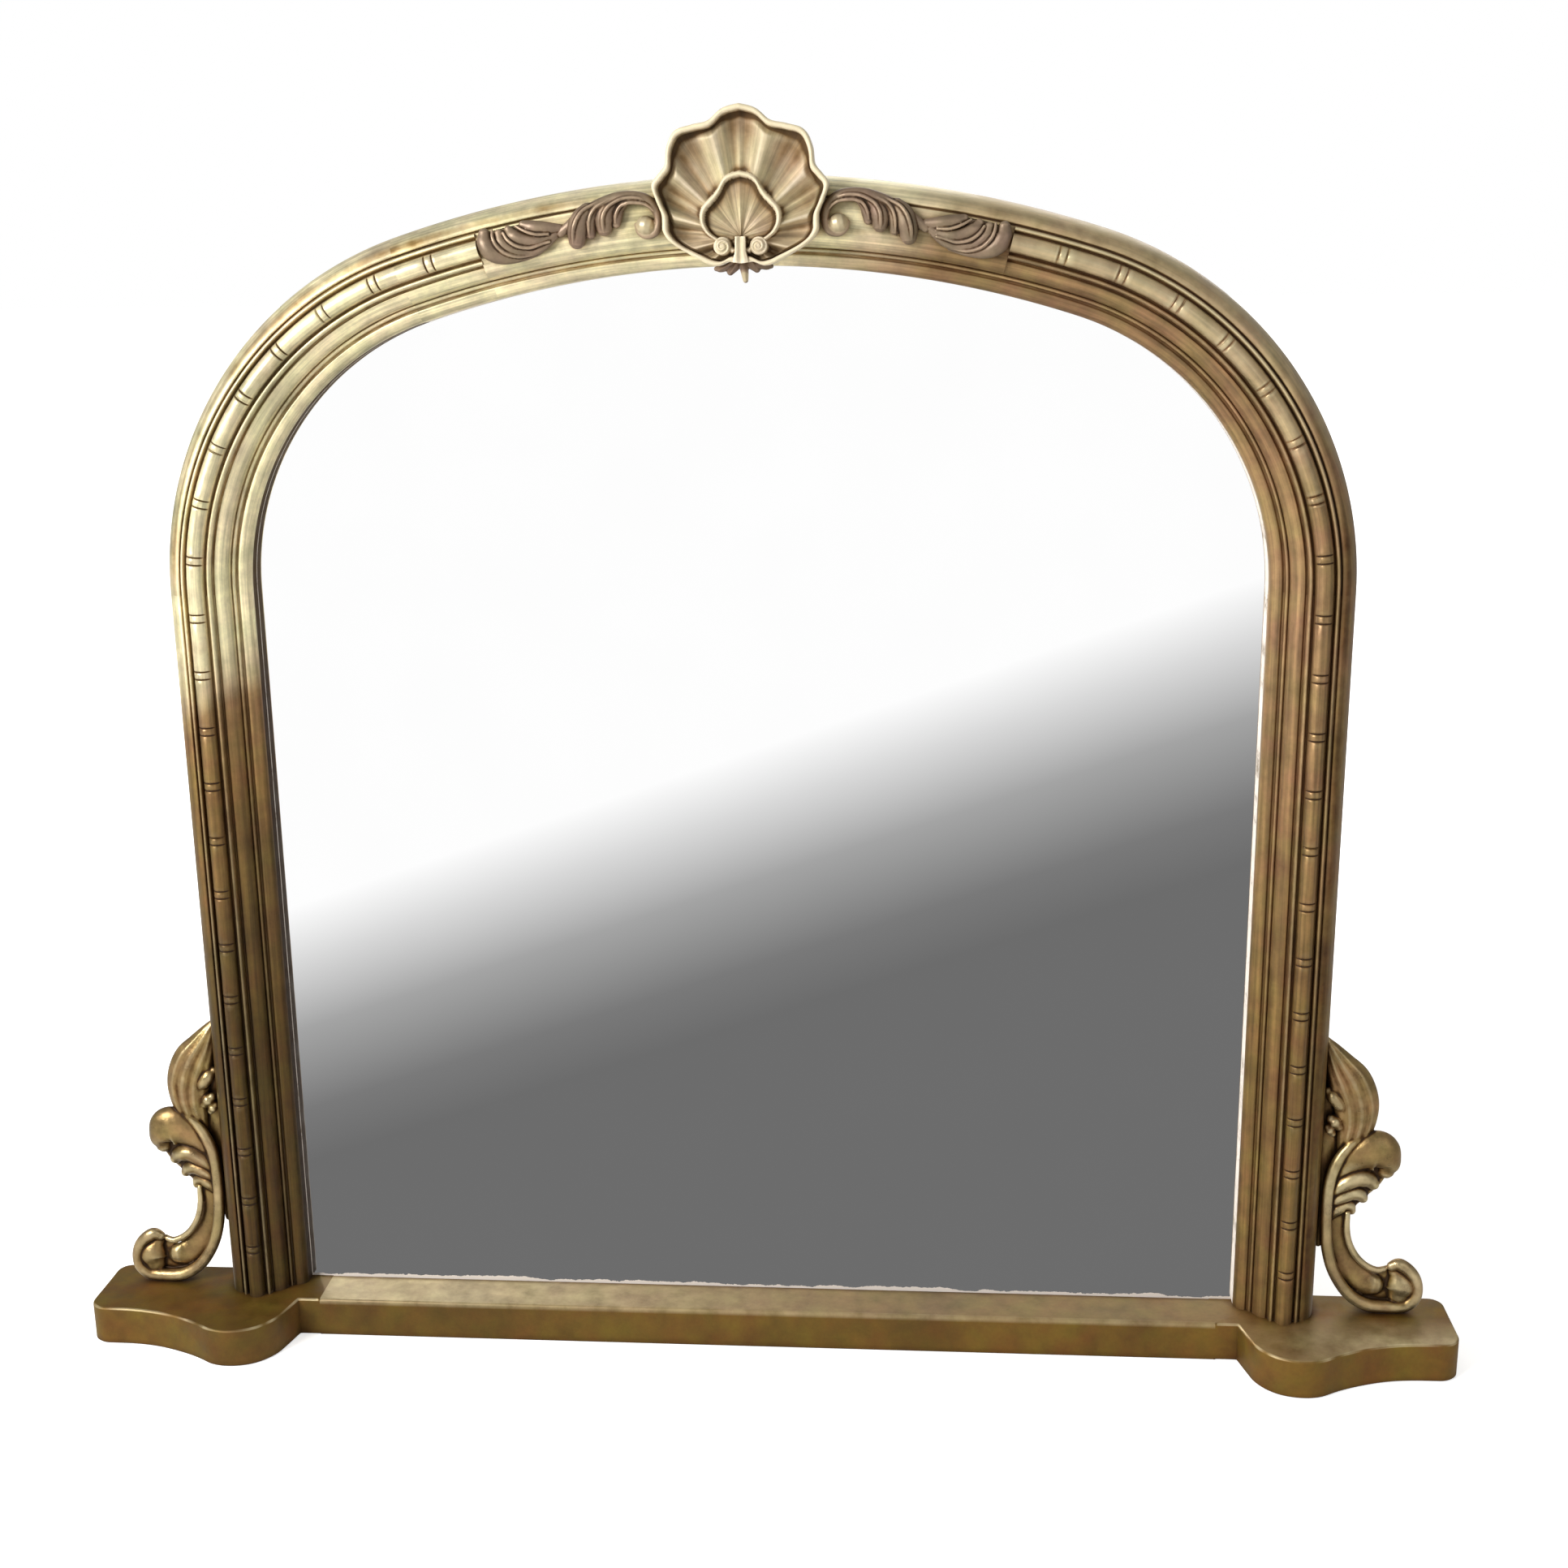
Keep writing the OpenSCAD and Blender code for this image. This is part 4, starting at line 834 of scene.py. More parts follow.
# Outline of the shell and of the bell inside it, as (degrees from the top, distance from the root)
SHELL_EDGE = [
    (0, 121.5), (8, 118), (15, 110.7), (24, 112.5), (33, 115), (40, 108), (47, 98), (54, 97.5), (60, 98),
    (67, 88), (74, 79), (80, 76.5), (85, 75.5), (91, 71), (97, 64), (103, 57), (115, 47), (128, 41),
    (141, 35), (150, 28), (165, 25), (180, 25),
]
BELL_EDGE = [
    (0, 58), (15, 54.5), (25, 47.5), (33, 44.5), (40, 43.7), (57, 43), (68, 39.7), (82, 32.4), (95, 24),
    (110, 19), (180, 15),
]
# Flutes passed at an angle: whole numbers are middles of flutes, halves are the ridges between them
FLUTES = [
    (0, 0), (15, 0.5), (33, 1), (47, 1.5), (60, 2), (74, 2.5), (85, 3), (103, 3.5), (115, 4), (128, 4.5),
    (150, 5), (180, 5),
]
RIM_ROLL = 2.8  # radius of the rolled rim
BELL_ROLL = 3.0  # radius of the bell's rim
VOLUTE_R, VOLUTE_X, VOLUTE_Z = 9.2, 17.5, -9.0
TONGUE_HALF = 5.2


def shell_surface(s, around=540, across=130):
    """Points of the shell in a ring grid from its outer wall to its root: (x, height, z)."""
    turn = np.linspace(0, 360, around, endpoint=False)
    a = np.where(turn > 180, 360 - turn, turn)
    edge = smooth_value(a, *zip(*SHELL_EDGE))
    bell = np.minimum(smooth_value(a, *zip(*BELL_EDGE)), edge - 12)
    flute = smooth_value(a, *zip(*FLUTES))
    ridge = ((1 - np.cos(2 * math.pi * flute)) / 2) ** 1.9
    fine = 0.5 + 0.5 * np.cos(2 * math.pi * 4 * flute)
    top = s.shell_h
    inner = edge - 2 * RIM_ROLL
    # The wall, the rolled rim, and then rings down to the root, whose height is worked out below
    rings = [(edge, share * (top - RIM_ROLL)) for share in (0, 1 / 3, 2 / 3)]
    for b in np.radians(np.linspace(0, 180, 11)):
        rings.append((edge - RIM_ROLL + RIM_ROLL * math.cos(b), top - RIM_ROLL + RIM_ROLL * math.sin(b)))
    count = across - len(rings)
    rings += [(inner * (1 - i / count) ** 0.9, None) for i in range(1, count)]
    x_axis, z_axis = np.sin(np.radians(turn)), np.cos(np.radians(turn))
    surface, shell_glaze_and_shade = [], []
    for r, h in rings:
        painted_shading = np.full(around, 0.7)
        if h is None:
            q = np.clip((r - bell - 3) / np.maximum(inner - bell - 3, 1), 0, 1)
            dish = 11.5 - 5.5 * np.sin(math.pi * np.clip(q * 0.95, 0, 1)) ** 0.9
            dish -= 3.0 * step_up(q, 0.82, 1.0)
            lift = 3.5 + 6.5 * np.sin(math.pi * np.clip(q * 0.75 + 0.12, 0, 1))
            lift *= 1 - 0.55 * step_up(q, 0.8, 1.0)
            h = dish + ridge * lift + fine * 0.6 * (1 - ridge) * (1 - q) ** 0.4
            # Rim of the bell
            off = (r - bell) / BELL_ROLL
            roll = np.sqrt(np.clip(1 - off**2, 0, 1))
            h = np.where(np.abs(off) < 1, np.maximum(h, 15 + 6.0 * roll), h)
            # Palmette inside the bell, with a ridge up its middle
            p = np.clip(r / np.maximum(bell - 3, 1), 0, 1)
            leaf = 12.5 + 1.8 * np.sin(math.pi * np.clip(1 - p, 0, 1) ** 0.8)
            leaf += 0.7 * np.cos(np.radians(a) * 360 / 26) * np.sin(math.pi * np.clip(p * 0.9, 0, 1))
            leaf += 2.6 * np.exp(-((a / 13) ** 2)) * step_up(1 - p, 0.25, 0.7)
            h = np.where(off <= -1, leaf, h)
            # Glaze and painted shade lie thickest under the rims and thin towards the root.
            painted_shading = np.where(off > 1, 0.45 * ridge - 0.2 - 0.35 * q**1.5 * (1 - 0.5 * ridge), 0.7)
            painted_shading = np.where(off < -1, -0.55 * p**0.8, painted_shading)
        h = np.broadcast_to(h, around)
        x, z = r * x_axis, r * z_axis
        for side in (-1, 1):
            # Volute in which the rim ends, with a groove that winds into it
            across_x, up_z = x - side * VOLUTE_X, z - VOLUTE_Z
            away = np.hypot(across_x, up_z)
            wind = np.degrees(np.arctan2(up_z, side * across_x))
            groove = 0.7 * np.cos(2 * math.pi * (away / 4.2 - wind / 360)) * (away > 2.2)
            boss = top - 3.5 + 6.5 * np.sqrt(np.clip(1 - (away / VOLUTE_R) ** 2, 0, 1)) + groove
            boss = boss * np.clip((VOLUTE_R - away) / 0.8, 0, 1) ** 0.3
            h = np.where((away < VOLUTE_R) & (h > 0.01), np.maximum(h, boss), h)
            painted_shading = np.where(away < VOLUTE_R, 0.55, painted_shading)
        # Tongue between the volutes, flared at its foot and hollowed down its middle
        half = TONGUE_HALF + 2.3 * step_up(-z, 12, 24)
        tongue = top + 2.5 - 1.6 * np.exp(-((x / 2.4) ** 2)) - 0.9 * (x / half) ** 4
        inside = (np.abs(x) < half) & (z < 0) & (h > 0.01)
        h = np.where(inside, np.maximum(h, tongue), h)
        surface.append(np.stack([x, h, z], -1))
        shell_glaze_and_shade.append(np.where(inside, 0.6, painted_shading))
    return np.array(surface), np.array(shell_glaze_and_shade)


def spread(values, edges, rounds):
    """Values averaged over the mesh's edges again and again."""
    ends, others = np.vstack([edges, edges[:, ::-1]]).T
    count = np.maximum(np.bincount(ends, minlength=len(values)), 1)[:, None]
    held = values.copy()
    for _ in range(rounds):
        total = [np.bincount(ends, held[others, k], len(held)) for k in range(held.shape[1])]
        held = 0.5 * held + 0.5 * np.stack(total, -1) / count
    return held


def relief_of(mesh, rounds, full):
    """How far each point stands out of a smoothed copy of the mesh, as a share of full, in millimetres."""
    co = read(mesh.vertices, "co")
    smoothed = spread(co, read(mesh.edges, "vertices", 2, np.int64), rounds)
    return ((co - smoothed) * read(mesh.vertices, "normal")).sum(1) / (full * MM)


class OVERMANTEL_OT_shell(bpy.types.Operator):
    """Models the fluted shell with its rolled rim, bell, volutes and tongue"""

    bl_idname = "overmantel.shell"
    bl_label = "Shell"

    def execute(self, context):
        s = sizes()
        grid, shell_glaze_and_shade = shell_surface(s)
        rows, cols = grid.shape[:2]
        x, height, z = grid.reshape(-1, 3).T
        points = np.column_stack([x, s.frieze_y - height, s.root_z + z])
        # The brush lines run out from the root.
        uv = np.column_stack([np.hypot(x, z) * 0.6, np.arctan2(x, z) * 55])
        piece = make_mesh("shell_carving", points, skin(rows, cols), ["gilt_shell"], uv=uv)
        relief = relief_of(piece.data, 60, 3.2)
        relief[: 3 * cols] = 0
        store_relief(piece.data, relief + shell_glaze_and_shade.ravel())
        stand_for("shell_cartouche")
        return {"FINISHED"}


# ---- carved leaves and scrolls ----


def tube(rows, sides=22, step=1.6, ridges=0, ridge_depth=0.0, tilt=0.0):
    """A closed lobe along rows of (across, up, radius, height of its middle, swell), with rounded ends."""
    line = curve_through([list(r) + [0.9 * r[2]] * (5 - len(r)) for r in rows], step)
    line[:, [2, 4]] = np.maximum(line[:, [2, 4]], 0.8)
    tangent = np.gradient(line[:, :2], axis=0)
    tangent /= np.maximum(np.hypot(*tangent.T), 1e-6)[:, None]
    before, after = [], []
    for k in (0.98, 0.85, 0.5):
        for row, way, store in ((line[0], -tangent[0], before), (line[-1], tangent[-1], after)):
            made = row.copy()
            made[:2] += way * row[2] * k
            made[[2, 4]] *= math.sqrt(1 - k * k)
            store.append(made)
    line = np.vstack([before, line, after[::-1]])
    tangent = np.vstack([np.repeat(tangent[:1], 3, 0), tangent, np.repeat(tangent[-1:], 3, 0)])
    angles = np.linspace(0, 2 * math.pi, sides, endpoint=False)
    across = line[:, 2:3] * np.cos(angles)
    swell = line[:, 4:5] * np.sin(angles)
    if ridges:
        swell = swell * (1 + ridge_depth * np.cos(ridges * angles) * (np.sin(angles) > 0))
    lean = math.radians(tilt)
    flat = across * math.cos(lean) - swell * math.sin(lean)
    rise = across * math.sin(lean) + swell * math.cos(lean)
    x = line[:, 0:1] - tangent[:, 1:2] * flat
    y = line[:, 1:2] + tangent[:, 0:1] * flat
    return np.stack([x, y, line[:, 3:4] + rise], -1).reshape(-1, 3), skin(len(line), sides)


def rub_and_highlight_spot(piece, x, z, radius, crests=0.0):
    """Lightens the finish within a radius of a place on the front, all of it or its crests so far, for rubbed wear
    and for painted highlights.
    """
    held = piece.data.attributes["relief"].data
    value, place = read(held, "value", 1)[:, 0], read(piece.data.vertices, "co") / MM
    near = 1 - ((place[:, 0] - x) ** 2 + (place[:, 2] - z) ** 2) / radius**2
    lifted = value + crests * near * ((near > 0) & (value > -0.15))
    held.foreach_set("value", (lifted if crests else np.maximum(value, 2.4 * near)).astype(np.float32))


def carve(name, lobes, place, fit, finish, grain, full, flank, rounds=14, strength=1.0):
    """Joins lobes into one carved skin, moves it into place, fits it to its neighbours and stores its relief.

    The grain is the size of the skin's faces; full is the depth of a crest that counts as 1.
    """
    points, faces, start = [], [], 0
    for made_points, made_faces in lobes:
        points.append(made_points)
        faces += [tuple(i + start for i in f) for f in made_faces]
        start += len(made_points)
    piece = make_mesh(name, place(np.vstack(points)), faces, [finish])
    weld = piece.modifiers.new("one skin", "REMESH")
    weld.mode, weld.voxel_size = "VOXEL", grain * MM
    soften = piece.modifiers.new("soften", "SMOOTH")
    soften.factor, soften.iterations = 0.5, 3
    skinned = piece.data = evaluated(piece)
    skinned.name = name
    if not skinned.materials:
        skinned.materials.append(finish_of(finish))
    relief = relief_of(skinned, rounds, full)
    # The flanks are darker than the fronts: thicker glaze, and painted shade where they turn away from the front.
    facing = read(skinned.vertices, "normal")[:, 1]
    relief -= flank * np.clip(1 + facing, 0, 1) ** 1.3 * (1 - step_up(facing, 0.2, 0.8)) / strength
    skinned.vertices.foreach_set("co", (fit(read(skinned.vertices, "co") / MM) * MM).ravel())
    skinned.update()
    skinned.shade_smooth()
    store_relief(skinned, relief * strength)
    return piece


# Lobes of the right side scroll: (out from the upright, up from the foot, radius, height of middle, swell)
SCROLL_RIM = [
    (40, 209, 4, 6), (28, 199, 5, 8), (17.5, 184, 6, 9), (10, 165, 6.5, 9.5), (7, 144, 6.5, 9.5),
    (6.5, 122, 6.5, 9.5), (7.5, 100, 6.5, 9.5), (10, 78, 6.5, 9), (16.5, 54, 6.5, 9), (27.5, 33, 6.5, 9),
    (41, 18, 7, 8.5), (59, 8.5, 7.5, 8), (80, 6.5, 7.5, 7), (97, 8, 7.5, 6.5), (107, 17, 7.5, 7),
    (109.5, 29, 7, 7.5), (106.5, 42, 7, 8), (99, 52.5, 7, 8), (89, 58.5, 7, 7.5), (81.5, 56, 5.5, 6.5),
]
SCROLL_TROUGH = [
    (20, 122, 13, -2, 5), (19, 100, 13, -2, 5), (22, 80, 13, -2.5, 5), (29, 61, 14, -3, 5), (40, 44, 16, -3, 6),
    (53, 33, 16, -1.5, 8), (63, 31, 12.5, 0.5, 9),
]
SCROLL_TROUGH_EDGE = [
    (31, 116, 3, 4), (30.7, 99, 3.5, 6), (34, 83, 3.6, 7), (42, 67.5, 3.8, 7), (53, 56.5, 3.8, 7),
    (65, 51, 3.8, 7), (73, 52, 3.4, 6),
]
SCROLL_VOLUTE = [(87, 47, 8, 2, 8), (91, 39, 14, 2, 12), (94, 31, 17, 2, 13), (93, 22, 14, 1, 11)]
SCROLL_HEAD = [
    (14, 158, 6, 3), (26, 175, 12, 3.5, 9), (41, 187, 18, 3.5, 11.5), (55, 191.5, 23, 3, 13),
    (64.5, 187, 21, 2, 13), (71, 176, 14, 0, 12), (70, 167, 10, -2.5, 9),
]
SCROLL_SHINGLES = [
    [(10, 139, 5.5, 4, 6), (24, 153, 9.5, 5, 8.5), (38, 160, 10.5, 4, 9), (50, 157, 9.5, 2, 8.5),
     (57, 150.5, 7, -1, 7)],
    [(9, 126, 5, 3, 5.5), (22, 137, 8.5, 3.5, 8), (33, 141.5, 9.2, 2.5, 8), (42, 138.5, 8, 0.5, 7.5),
     (47, 133, 6, -2, 6)],
    [(9.5, 111, 4.5, 2, 5), (18, 121, 7.5, 2.5, 7), (27, 126, 7.6, 1.5, 6.5), (33.5, 123, 6.5, -0.5, 6),
     (36, 117.5, 5, -2.5, 5)],
]
SCROLL_UPPER_LEAF = [
    (26, 186, 11, -2, 8), (31, 206, 17, 0, 10), (34, 226, 21.5, 2, 11), (32, 248, 24.5, 3, 12),
    (24, 271, 23.5, 3, 12), (13, 290, 17, 2, 10), (4, 306, 10, 1, 8), (-2, 316, 5, 0, 5),
]
SCROLL_INNER_LOBES = [
    [(20, 240, 5, 6, 5), (14, 247, 7.5, 8, 7), (6, 256, 7, 8, 6.5), (1, 261, 4.5, 6, 4)],
    [(15, 220, 5, 5, 5), (10, 225.5, 6.6, 7, 6.5), (6, 229, 5, 6, 5)],
    [(9, 211, 4, 4, 4), (5.5, 216, 5, 6.5, 5), (3, 219, 4, 5.5, 4)],
]
SCROLL_GROUND = [
    [(3, 76, 4.5, -6, 5), (4, 130, 6, -6, 5), (8, 190, 14, -6.5, 5), (7, 230, 14, -6.5, 5), (4, 270, 9, -6, 5),
     (1, 300, 6, -5, 5)],
    [(19, 106, 13, -5, 5), (26, 128, 16, -5, 5.5), (37.5, 146, 19.5, -5, 6), (50, 168, 23, -5, 6.5),
     (46, 192, 20, -4, 7)],
    [(24, 52, 8, -4, 6), (36, 32, 12, -4, 6), (52, 20, 13, -4, 6), (70, 22, 16, -4, 7), (84, 30, 22, -4, 7),
     (94, 32, 20, -4, 7)],
]
SCROLL_BACK = 10.6  # back of the scroll behind its middle
SCROLL_TALL = 320


class OVERMANTEL_OT_side_scrolls(bpy.types.Operator):
    """Carves the two side scrolls: C-scroll, stepped leaf, ribbed upper leaf and small inner lobes"""

    bl_idname = "overmantel.side_scrolls"
    bl_label = "Side scrolls"

    def execute(self, context):
        s = sizes()
        lobes = [tube(rows) for rows in (SCROLL_RIM, SCROLL_TROUGH, SCROLL_TROUGH_EDGE)]
        lobes += [tube(SCROLL_VOLUTE, sides=40), tube(SCROLL_HEAD, sides=48)]
        lobes += [tube(SCROLL_UPPER_LEAF, ridges=11, ridge_depth=0.06, sides=72)]
        lobes += [tube(rows, ridges=4, ridge_depth=0.05, tilt=-10, sides=32) for rows in SCROLL_SHINGLES]
        lobes += [tube(rows) for rows in SCROLL_INNER_LOBES + SCROLL_GROUND]
        middle_y = s.scroll_dep + s.front
        for side, word in SIDES:

            def place(p):
                return np.column_stack([side * (s.flank + p[:, 0]), middle_y - p[:, 2], s.plinth_h + p[:, 1]])

            def fit(p):
                p[:, 1] = np.minimum(p[:, 1], middle_y + SCROLL_BACK)
                p[:, 2] = np.clip(p[:, 2], s.plinth_h, s.plinth_h + SCROLL_TALL)
                # The upright's outer side, which turns round towards the front
                turned = np.clip(1 - ((50 - np.minimum(p[:, 1] - s.front, 50)) / 40) ** 2, 0, 1)
                wall = s.bead_half + OUTER_TURN + (OUTER - OUTER_TURN) * np.sqrt(turned)
                p[:, 0] = side * np.maximum(side * p[:, 0], wall)
                return p

            piece = carve(
                f"scroll_carving_{word}", lobes, place, fit, "gilt_scroll",
                grain=1.1, full=1.3, flank=0.9, rounds=30, strength=1.8,
            )
            if side > 0:
                # Painted highlight: on the right the crests of the stepped leaf and of the volute are lightened
                # where the light falls on them.
                rub_and_highlight_spot(piece, s.flank + 30, s.plinth_h + 145, 38, crests=0.9)
                rub_and_highlight_spot(piece, s.flank + 93, s.plinth_h + 32, 28, crests=0.5)
            stand_for(f"{word}_side_scroll")
        return {"FINISHED"}


# Lobes of the right spray: (along the bead line, out from it, radius, height of middle, swell)
SPRAY_STEM = [
    (103, -5, 2.4, 4), (101, -12, 3, 4.5), (95, -16, 3.4, 5), (87, -15, 3.8, 5.5), (82, -9, 4, 6),
    (80.5, 0, 4.2, 6.5), (83.5, 9.5, 4.8, 6.5), (91, 17, 5.6, 6.5), (103, 20.5, 6.4, 6.5),
    (118, 21, 6.5, 6.5), (133, 18, 6.5, 6.5), (144, 14.5, 6.5, 6), (156, 9, 6.5, 6), (167, 3.5, 5.5, 5),
    (178, -2, 4.5, 4),
]
SPRAY_EYE = [(93.6, -6.6, 9.3, 4, 11.5), (94.2, -6.4, 9.3, 4, 11.5)]
SPRAY_FOLDS = [
    [(112, 17, 4.5, 5), (118, 12, 5.5, 5), (121, 5, 5.8, 4.5), (122.5, -1.5, 4.6, 4)],
    [(122, 19, 6, 6, 6), (129, 13, 8, 6, 7), (133.5, 4, 9.2, 5.5, 8), (134.5, -4, 8, 4.5, 7)],
    [(137, 17, 5, 6, 6), (143.5, 11, 5.5, 6, 6), (147.5, 2, 5.6, 5.5, 6), (149, -8, 5, 4, 5)],
    [(148, 15, 7, 6, 6.5), (156, 8, 9, 6.5, 7.5), (161, -2, 10, 6, 8.5), (163.5, -11.5, 8.6, 4.5, 7.5)],
]
SPRAY_CUP = [
    [(205, -16.5, 3, 3), (222, -17, 4.5, 4), (238, -13.5, 7, 5), (249, -6, 9, 5.5), (253, 4, 8.5, 5.5),
     (252, 12, 6, 4.5)],
    [(184, -4, 3.5, 4), (198, -12, 4.2, 4.5), (214, -14, 5, 5), (229, -8.5, 6.2, 5.5), (237, 0.5, 6.5, 5.5),
     (238, 9, 5, 4.5)],
    [(182, -1, 4, 4), (190, -4.5, 4.6, 4.5), (203, -5.5, 6.2, 5.5), (215, -2, 7, 5.5), (224.5, 4.5, 6.5, 5.5),
     (228, 11, 4.2, 4)],
    [(178, 2, 4.5, 4), (193, 5, 6.5, 5), (205, 8.5, 6.6, 5), (213, 12.5, 4.2, 4)],
    [(182, 0, 6, -2, 5), (200, -1, 13, -2, 6), (222, -2, 16, -2, 6), (242, 0, 14, -2, 6)],
]
# Thin raised lines that the carver left along the folds and in the cup
SPRAY_LINES = [
    [(84.2, 6, 1.3, 9.5), (88.3, 10.5, 1.5, 10.8), (94.6, 14.1, 1.7, 11.6), (105.4, 16, 1.9, 12),
     (110.9, 15.4, 1.9, 11.5), (115.3, 14, 1.8, 10.5), (119, 10, 1.8, 10.2), (121.6, 5, 1.7, 9.8),
     (122.8, 0, 1.4, 8)],
    [(88, 14, 1.3, 9), (98, 19.5, 1.7, 12), (112, 20.5, 1.8, 12.6), (123.9, 16.6, 1.8, 12.8),
     (129.8, 12, 2, 13.2), (133.4, 6, 2.1, 13.6), (134.8, -1, 1.9, 12.6), (135.2, -7.5, 1.5, 9.5)],
    [(126, 21, 1.4, 11), (137, 17, 1.6, 12), (143.5, 11.6, 1.7, 12), (147.6, 4, 1.7, 11.6), (149.4, -4, 1.5, 10.2),
     (150, -10, 1.3, 7.5)],
    [(136, 20.5, 1.4, 10.5), (150, 15.6, 1.8, 12.6), (157.5, 9.2, 2.1, 14.2), (162, 2, 2.2, 14.8),
     (165, -5.5, 2, 13.6), (166.5, -13.5, 1.6, 10)],
    [(189.6, -1.2, 1.3, 9.2), (201.5, 0.8, 1.6, 11), (211.5, 6, 1.6, 11), (219.5, 12.5, 1.3, 8)],
    [(190, -8.5, 1.3, 8.6), (198, -9, 1.5, 9), (209.7, -10.4, 1.7, 10.6), (221.5, -6.5, 1.9, 11.6),
     (229.5, 1, 1.8, 11.4), (233, 9, 1.4, 8.8)],
    [(206, -17, 1.3, 6.4), (222, -16.6, 1.6, 9), (234.5, -10.6, 1.9, 11), (241.5, -1.5, 2, 12),
     (243.6, 7, 1.7, 11), (243, 14, 1.3, 7.5)],
]


class OVERMANTEL_OT_sprays(bpy.types.Operator):
    """Carves the sprays beside the shell: volute with its eye, draped folds and a cupped leaf"""

    bl_idname = "overmantel.sprays"
    bl_label = "Sprays"

    def execute(self, context):
        s = sizes()
        lobes = [tube(SPRAY_STEM), tube(SPRAY_EYE, sides=32)]
        lobes += [tube(rows) for rows in SPRAY_FOLDS + SPRAY_CUP]
        lobes += [tube(rows, sides=14) for rows in SPRAY_LINES]
        for side, word in SIDES:

            def place(p):
                a, r = p[:, 0] / s.crown_r, s.crown_r + p[:, 1]
                return np.column_stack([side * r * np.sin(a), s.frieze_y - p[:, 2], s.crown_z + r * np.cos(a)])

            def fit(p):
                p[:, 1] = np.minimum(p[:, 1], s.frieze_y)
                return p

            piece = carve(
                f"spray_carving_{word}", lobes, place, fit, "bronzed",
                grain=0.7, full=0.5, flank=0.75, strength=1.5,
            )
            # The eye of the volute is rubbed pale.
            eye = place(np.array([[94.0, -6.5, 0.0]]))[0]
            rub_and_highlight_spot(piece, eye[0], eye[2], 15)
            stand_for(f"{word}_spray")
        return {"FINISHED"}


# Leaves and drop under the shell: (across, up from the root, radius, height of middle, swell)
PENDANT_LEAVES = [
    [(2, -14, 7, 8, 9), (12, -23, 7, 9, 9), (22, -29, 4.6, 7, 6), (27, -30, 2.4, 6, 3)],
    [(1, -14, 7, 9, 9), (8, -26, 6, 10, 8), (13, -33, 3.6, 8, 5)],
]
PENDANT_DROP = [(0, -12, 6, 10, 9), (0.5, -26, 4.6, 12, 8), (1.5, -34, 3.8, 12, 7), (2, -41, 2.8, 10, 5)]
PENDANT_ROOT, PENDANT_BACK = 16, 18  # behind the frieze
LEAF_TOP, LEAF_LIFT = 14, 0.12


class OVERMANTEL_OT_pendant(bpy.types.Operator):
    """Carves the leaves and the drop that hang from the shell over the glass"""

    bl_idname = "overmantel.pendant"
    bl_label = "Pendant"

    def execute(self, context):
        s = sizes()
        lobes = [tube(PENDANT_DROP)]
        for rows in PENDANT_LEAVES:
            # The left-hand leaves hang a little lower.
            for side, lift in ((1, LEAF_LIFT), (-1, 0.0)):
                leaf = [(side * r[0], r[1] - lift * (r[1] + LEAF_TOP), *r[2:]) for r in rows]
                lobes.append(tube(leaf, ridges=5, ridge_depth=0.14))

        def place(p):
            return np.column_stack([p[:, 0], s.frieze_y + PENDANT_ROOT - p[:, 2], s.root_z + p[:, 1]])

        def fit(p):
            p[:, 1] = np.minimum(p[:, 1], s.frieze_y + PENDANT_BACK)
            return p

        piece = carve("pendant_carving", lobes, place, fit, "bronzed", grain=0.6, full=0.6, flank=0.2)
        rub_and_highlight_spot(piece, 1.5, s.root_z - 38, 8)
        piece.visible_glossy = False
        stand_for("shell_pendant")
        return {"FINISHED"}


# ---- glass, back and fixings, which keep their CAD meshes ----


def dress(finish, *nodes):
    """Gives CAD nodes their finish."""
    for node in nodes:
        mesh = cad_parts[node].data
        mesh.materials.clear()
        mesh.materials.append(finish_of(finish))


class OVERMANTEL_OT_glass(bpy.types.Operator):
    """Silvers the mirror plate and gives the blocks that hold it bare wood"""

    bl_idname = "overmantel.glass"
    bl_label = "Glass"

    def execute(self, context):
        dress("plate", "mirror_glass")
        dress("softwood_cross", "setting_blocks")
        dress("softwood", "packing_blocks")
        return {"FINISHED"}


class OVERMANTEL_OT_back(bpy.types.Operator):
    """Finishes the back boards, dowels, pins, screws and hangers"""

    bl_idname = "overmantel.back"
    bl_label = "Back and fixings"

    def execute(self, context):
        for word in ("left", "middle", "right"):
            dress(f"board_{word}", f"back_board_{word}")
        dress("softwood", "arch_dowels")
        dress("softwood_cross", "rail_dowels")
        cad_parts["rail_dowels"].visible_glossy = False
        dress("zinc", "back_board_pins", "upright_screws", "hanger_screws")
        for _, word in SIDES:
            dress("zinc", f"{word}_hanger_strap", f"{word}_hanger_ring")
        return {"FINISHED"}


# ---- stage ----

WHITE = (1, 1, 1, 1)
# The photograph's camera, fitted to the uprights, the plinth and the arch
PHOTO_SIZE, PHOTO_FOCAL, SENSOR = 1932, 2445, 36.0
CAMERA_PLACE = (0.189, -2.011, 1.173)
CAMERA_YAW, CAMERA_PITCH, CAMERA_ROLL = (math.radians(v) for v in (4.47, 14.76, 0.73))
LAMPS = (
    ("key", (-2.4, -2.4, 2.1), 1.5, 150.0),
    ("fill", (2.2, -2.8, 1.5), 2.4, 16.0),
    ("back", (0.4, 3.2, 2.6), 2.6, 40.0),
)
# The slant on which the painted reflection fades, in metres, and the shares at which it is white and full grey
REFLECTION_SLOPE, REFLECTION_SHIFT, REFLECTION_PIVOT = 0.717, 2.246, 2.05
REFLECTION_WHITE, REFLECTION_GREY = 0.416, 0.736
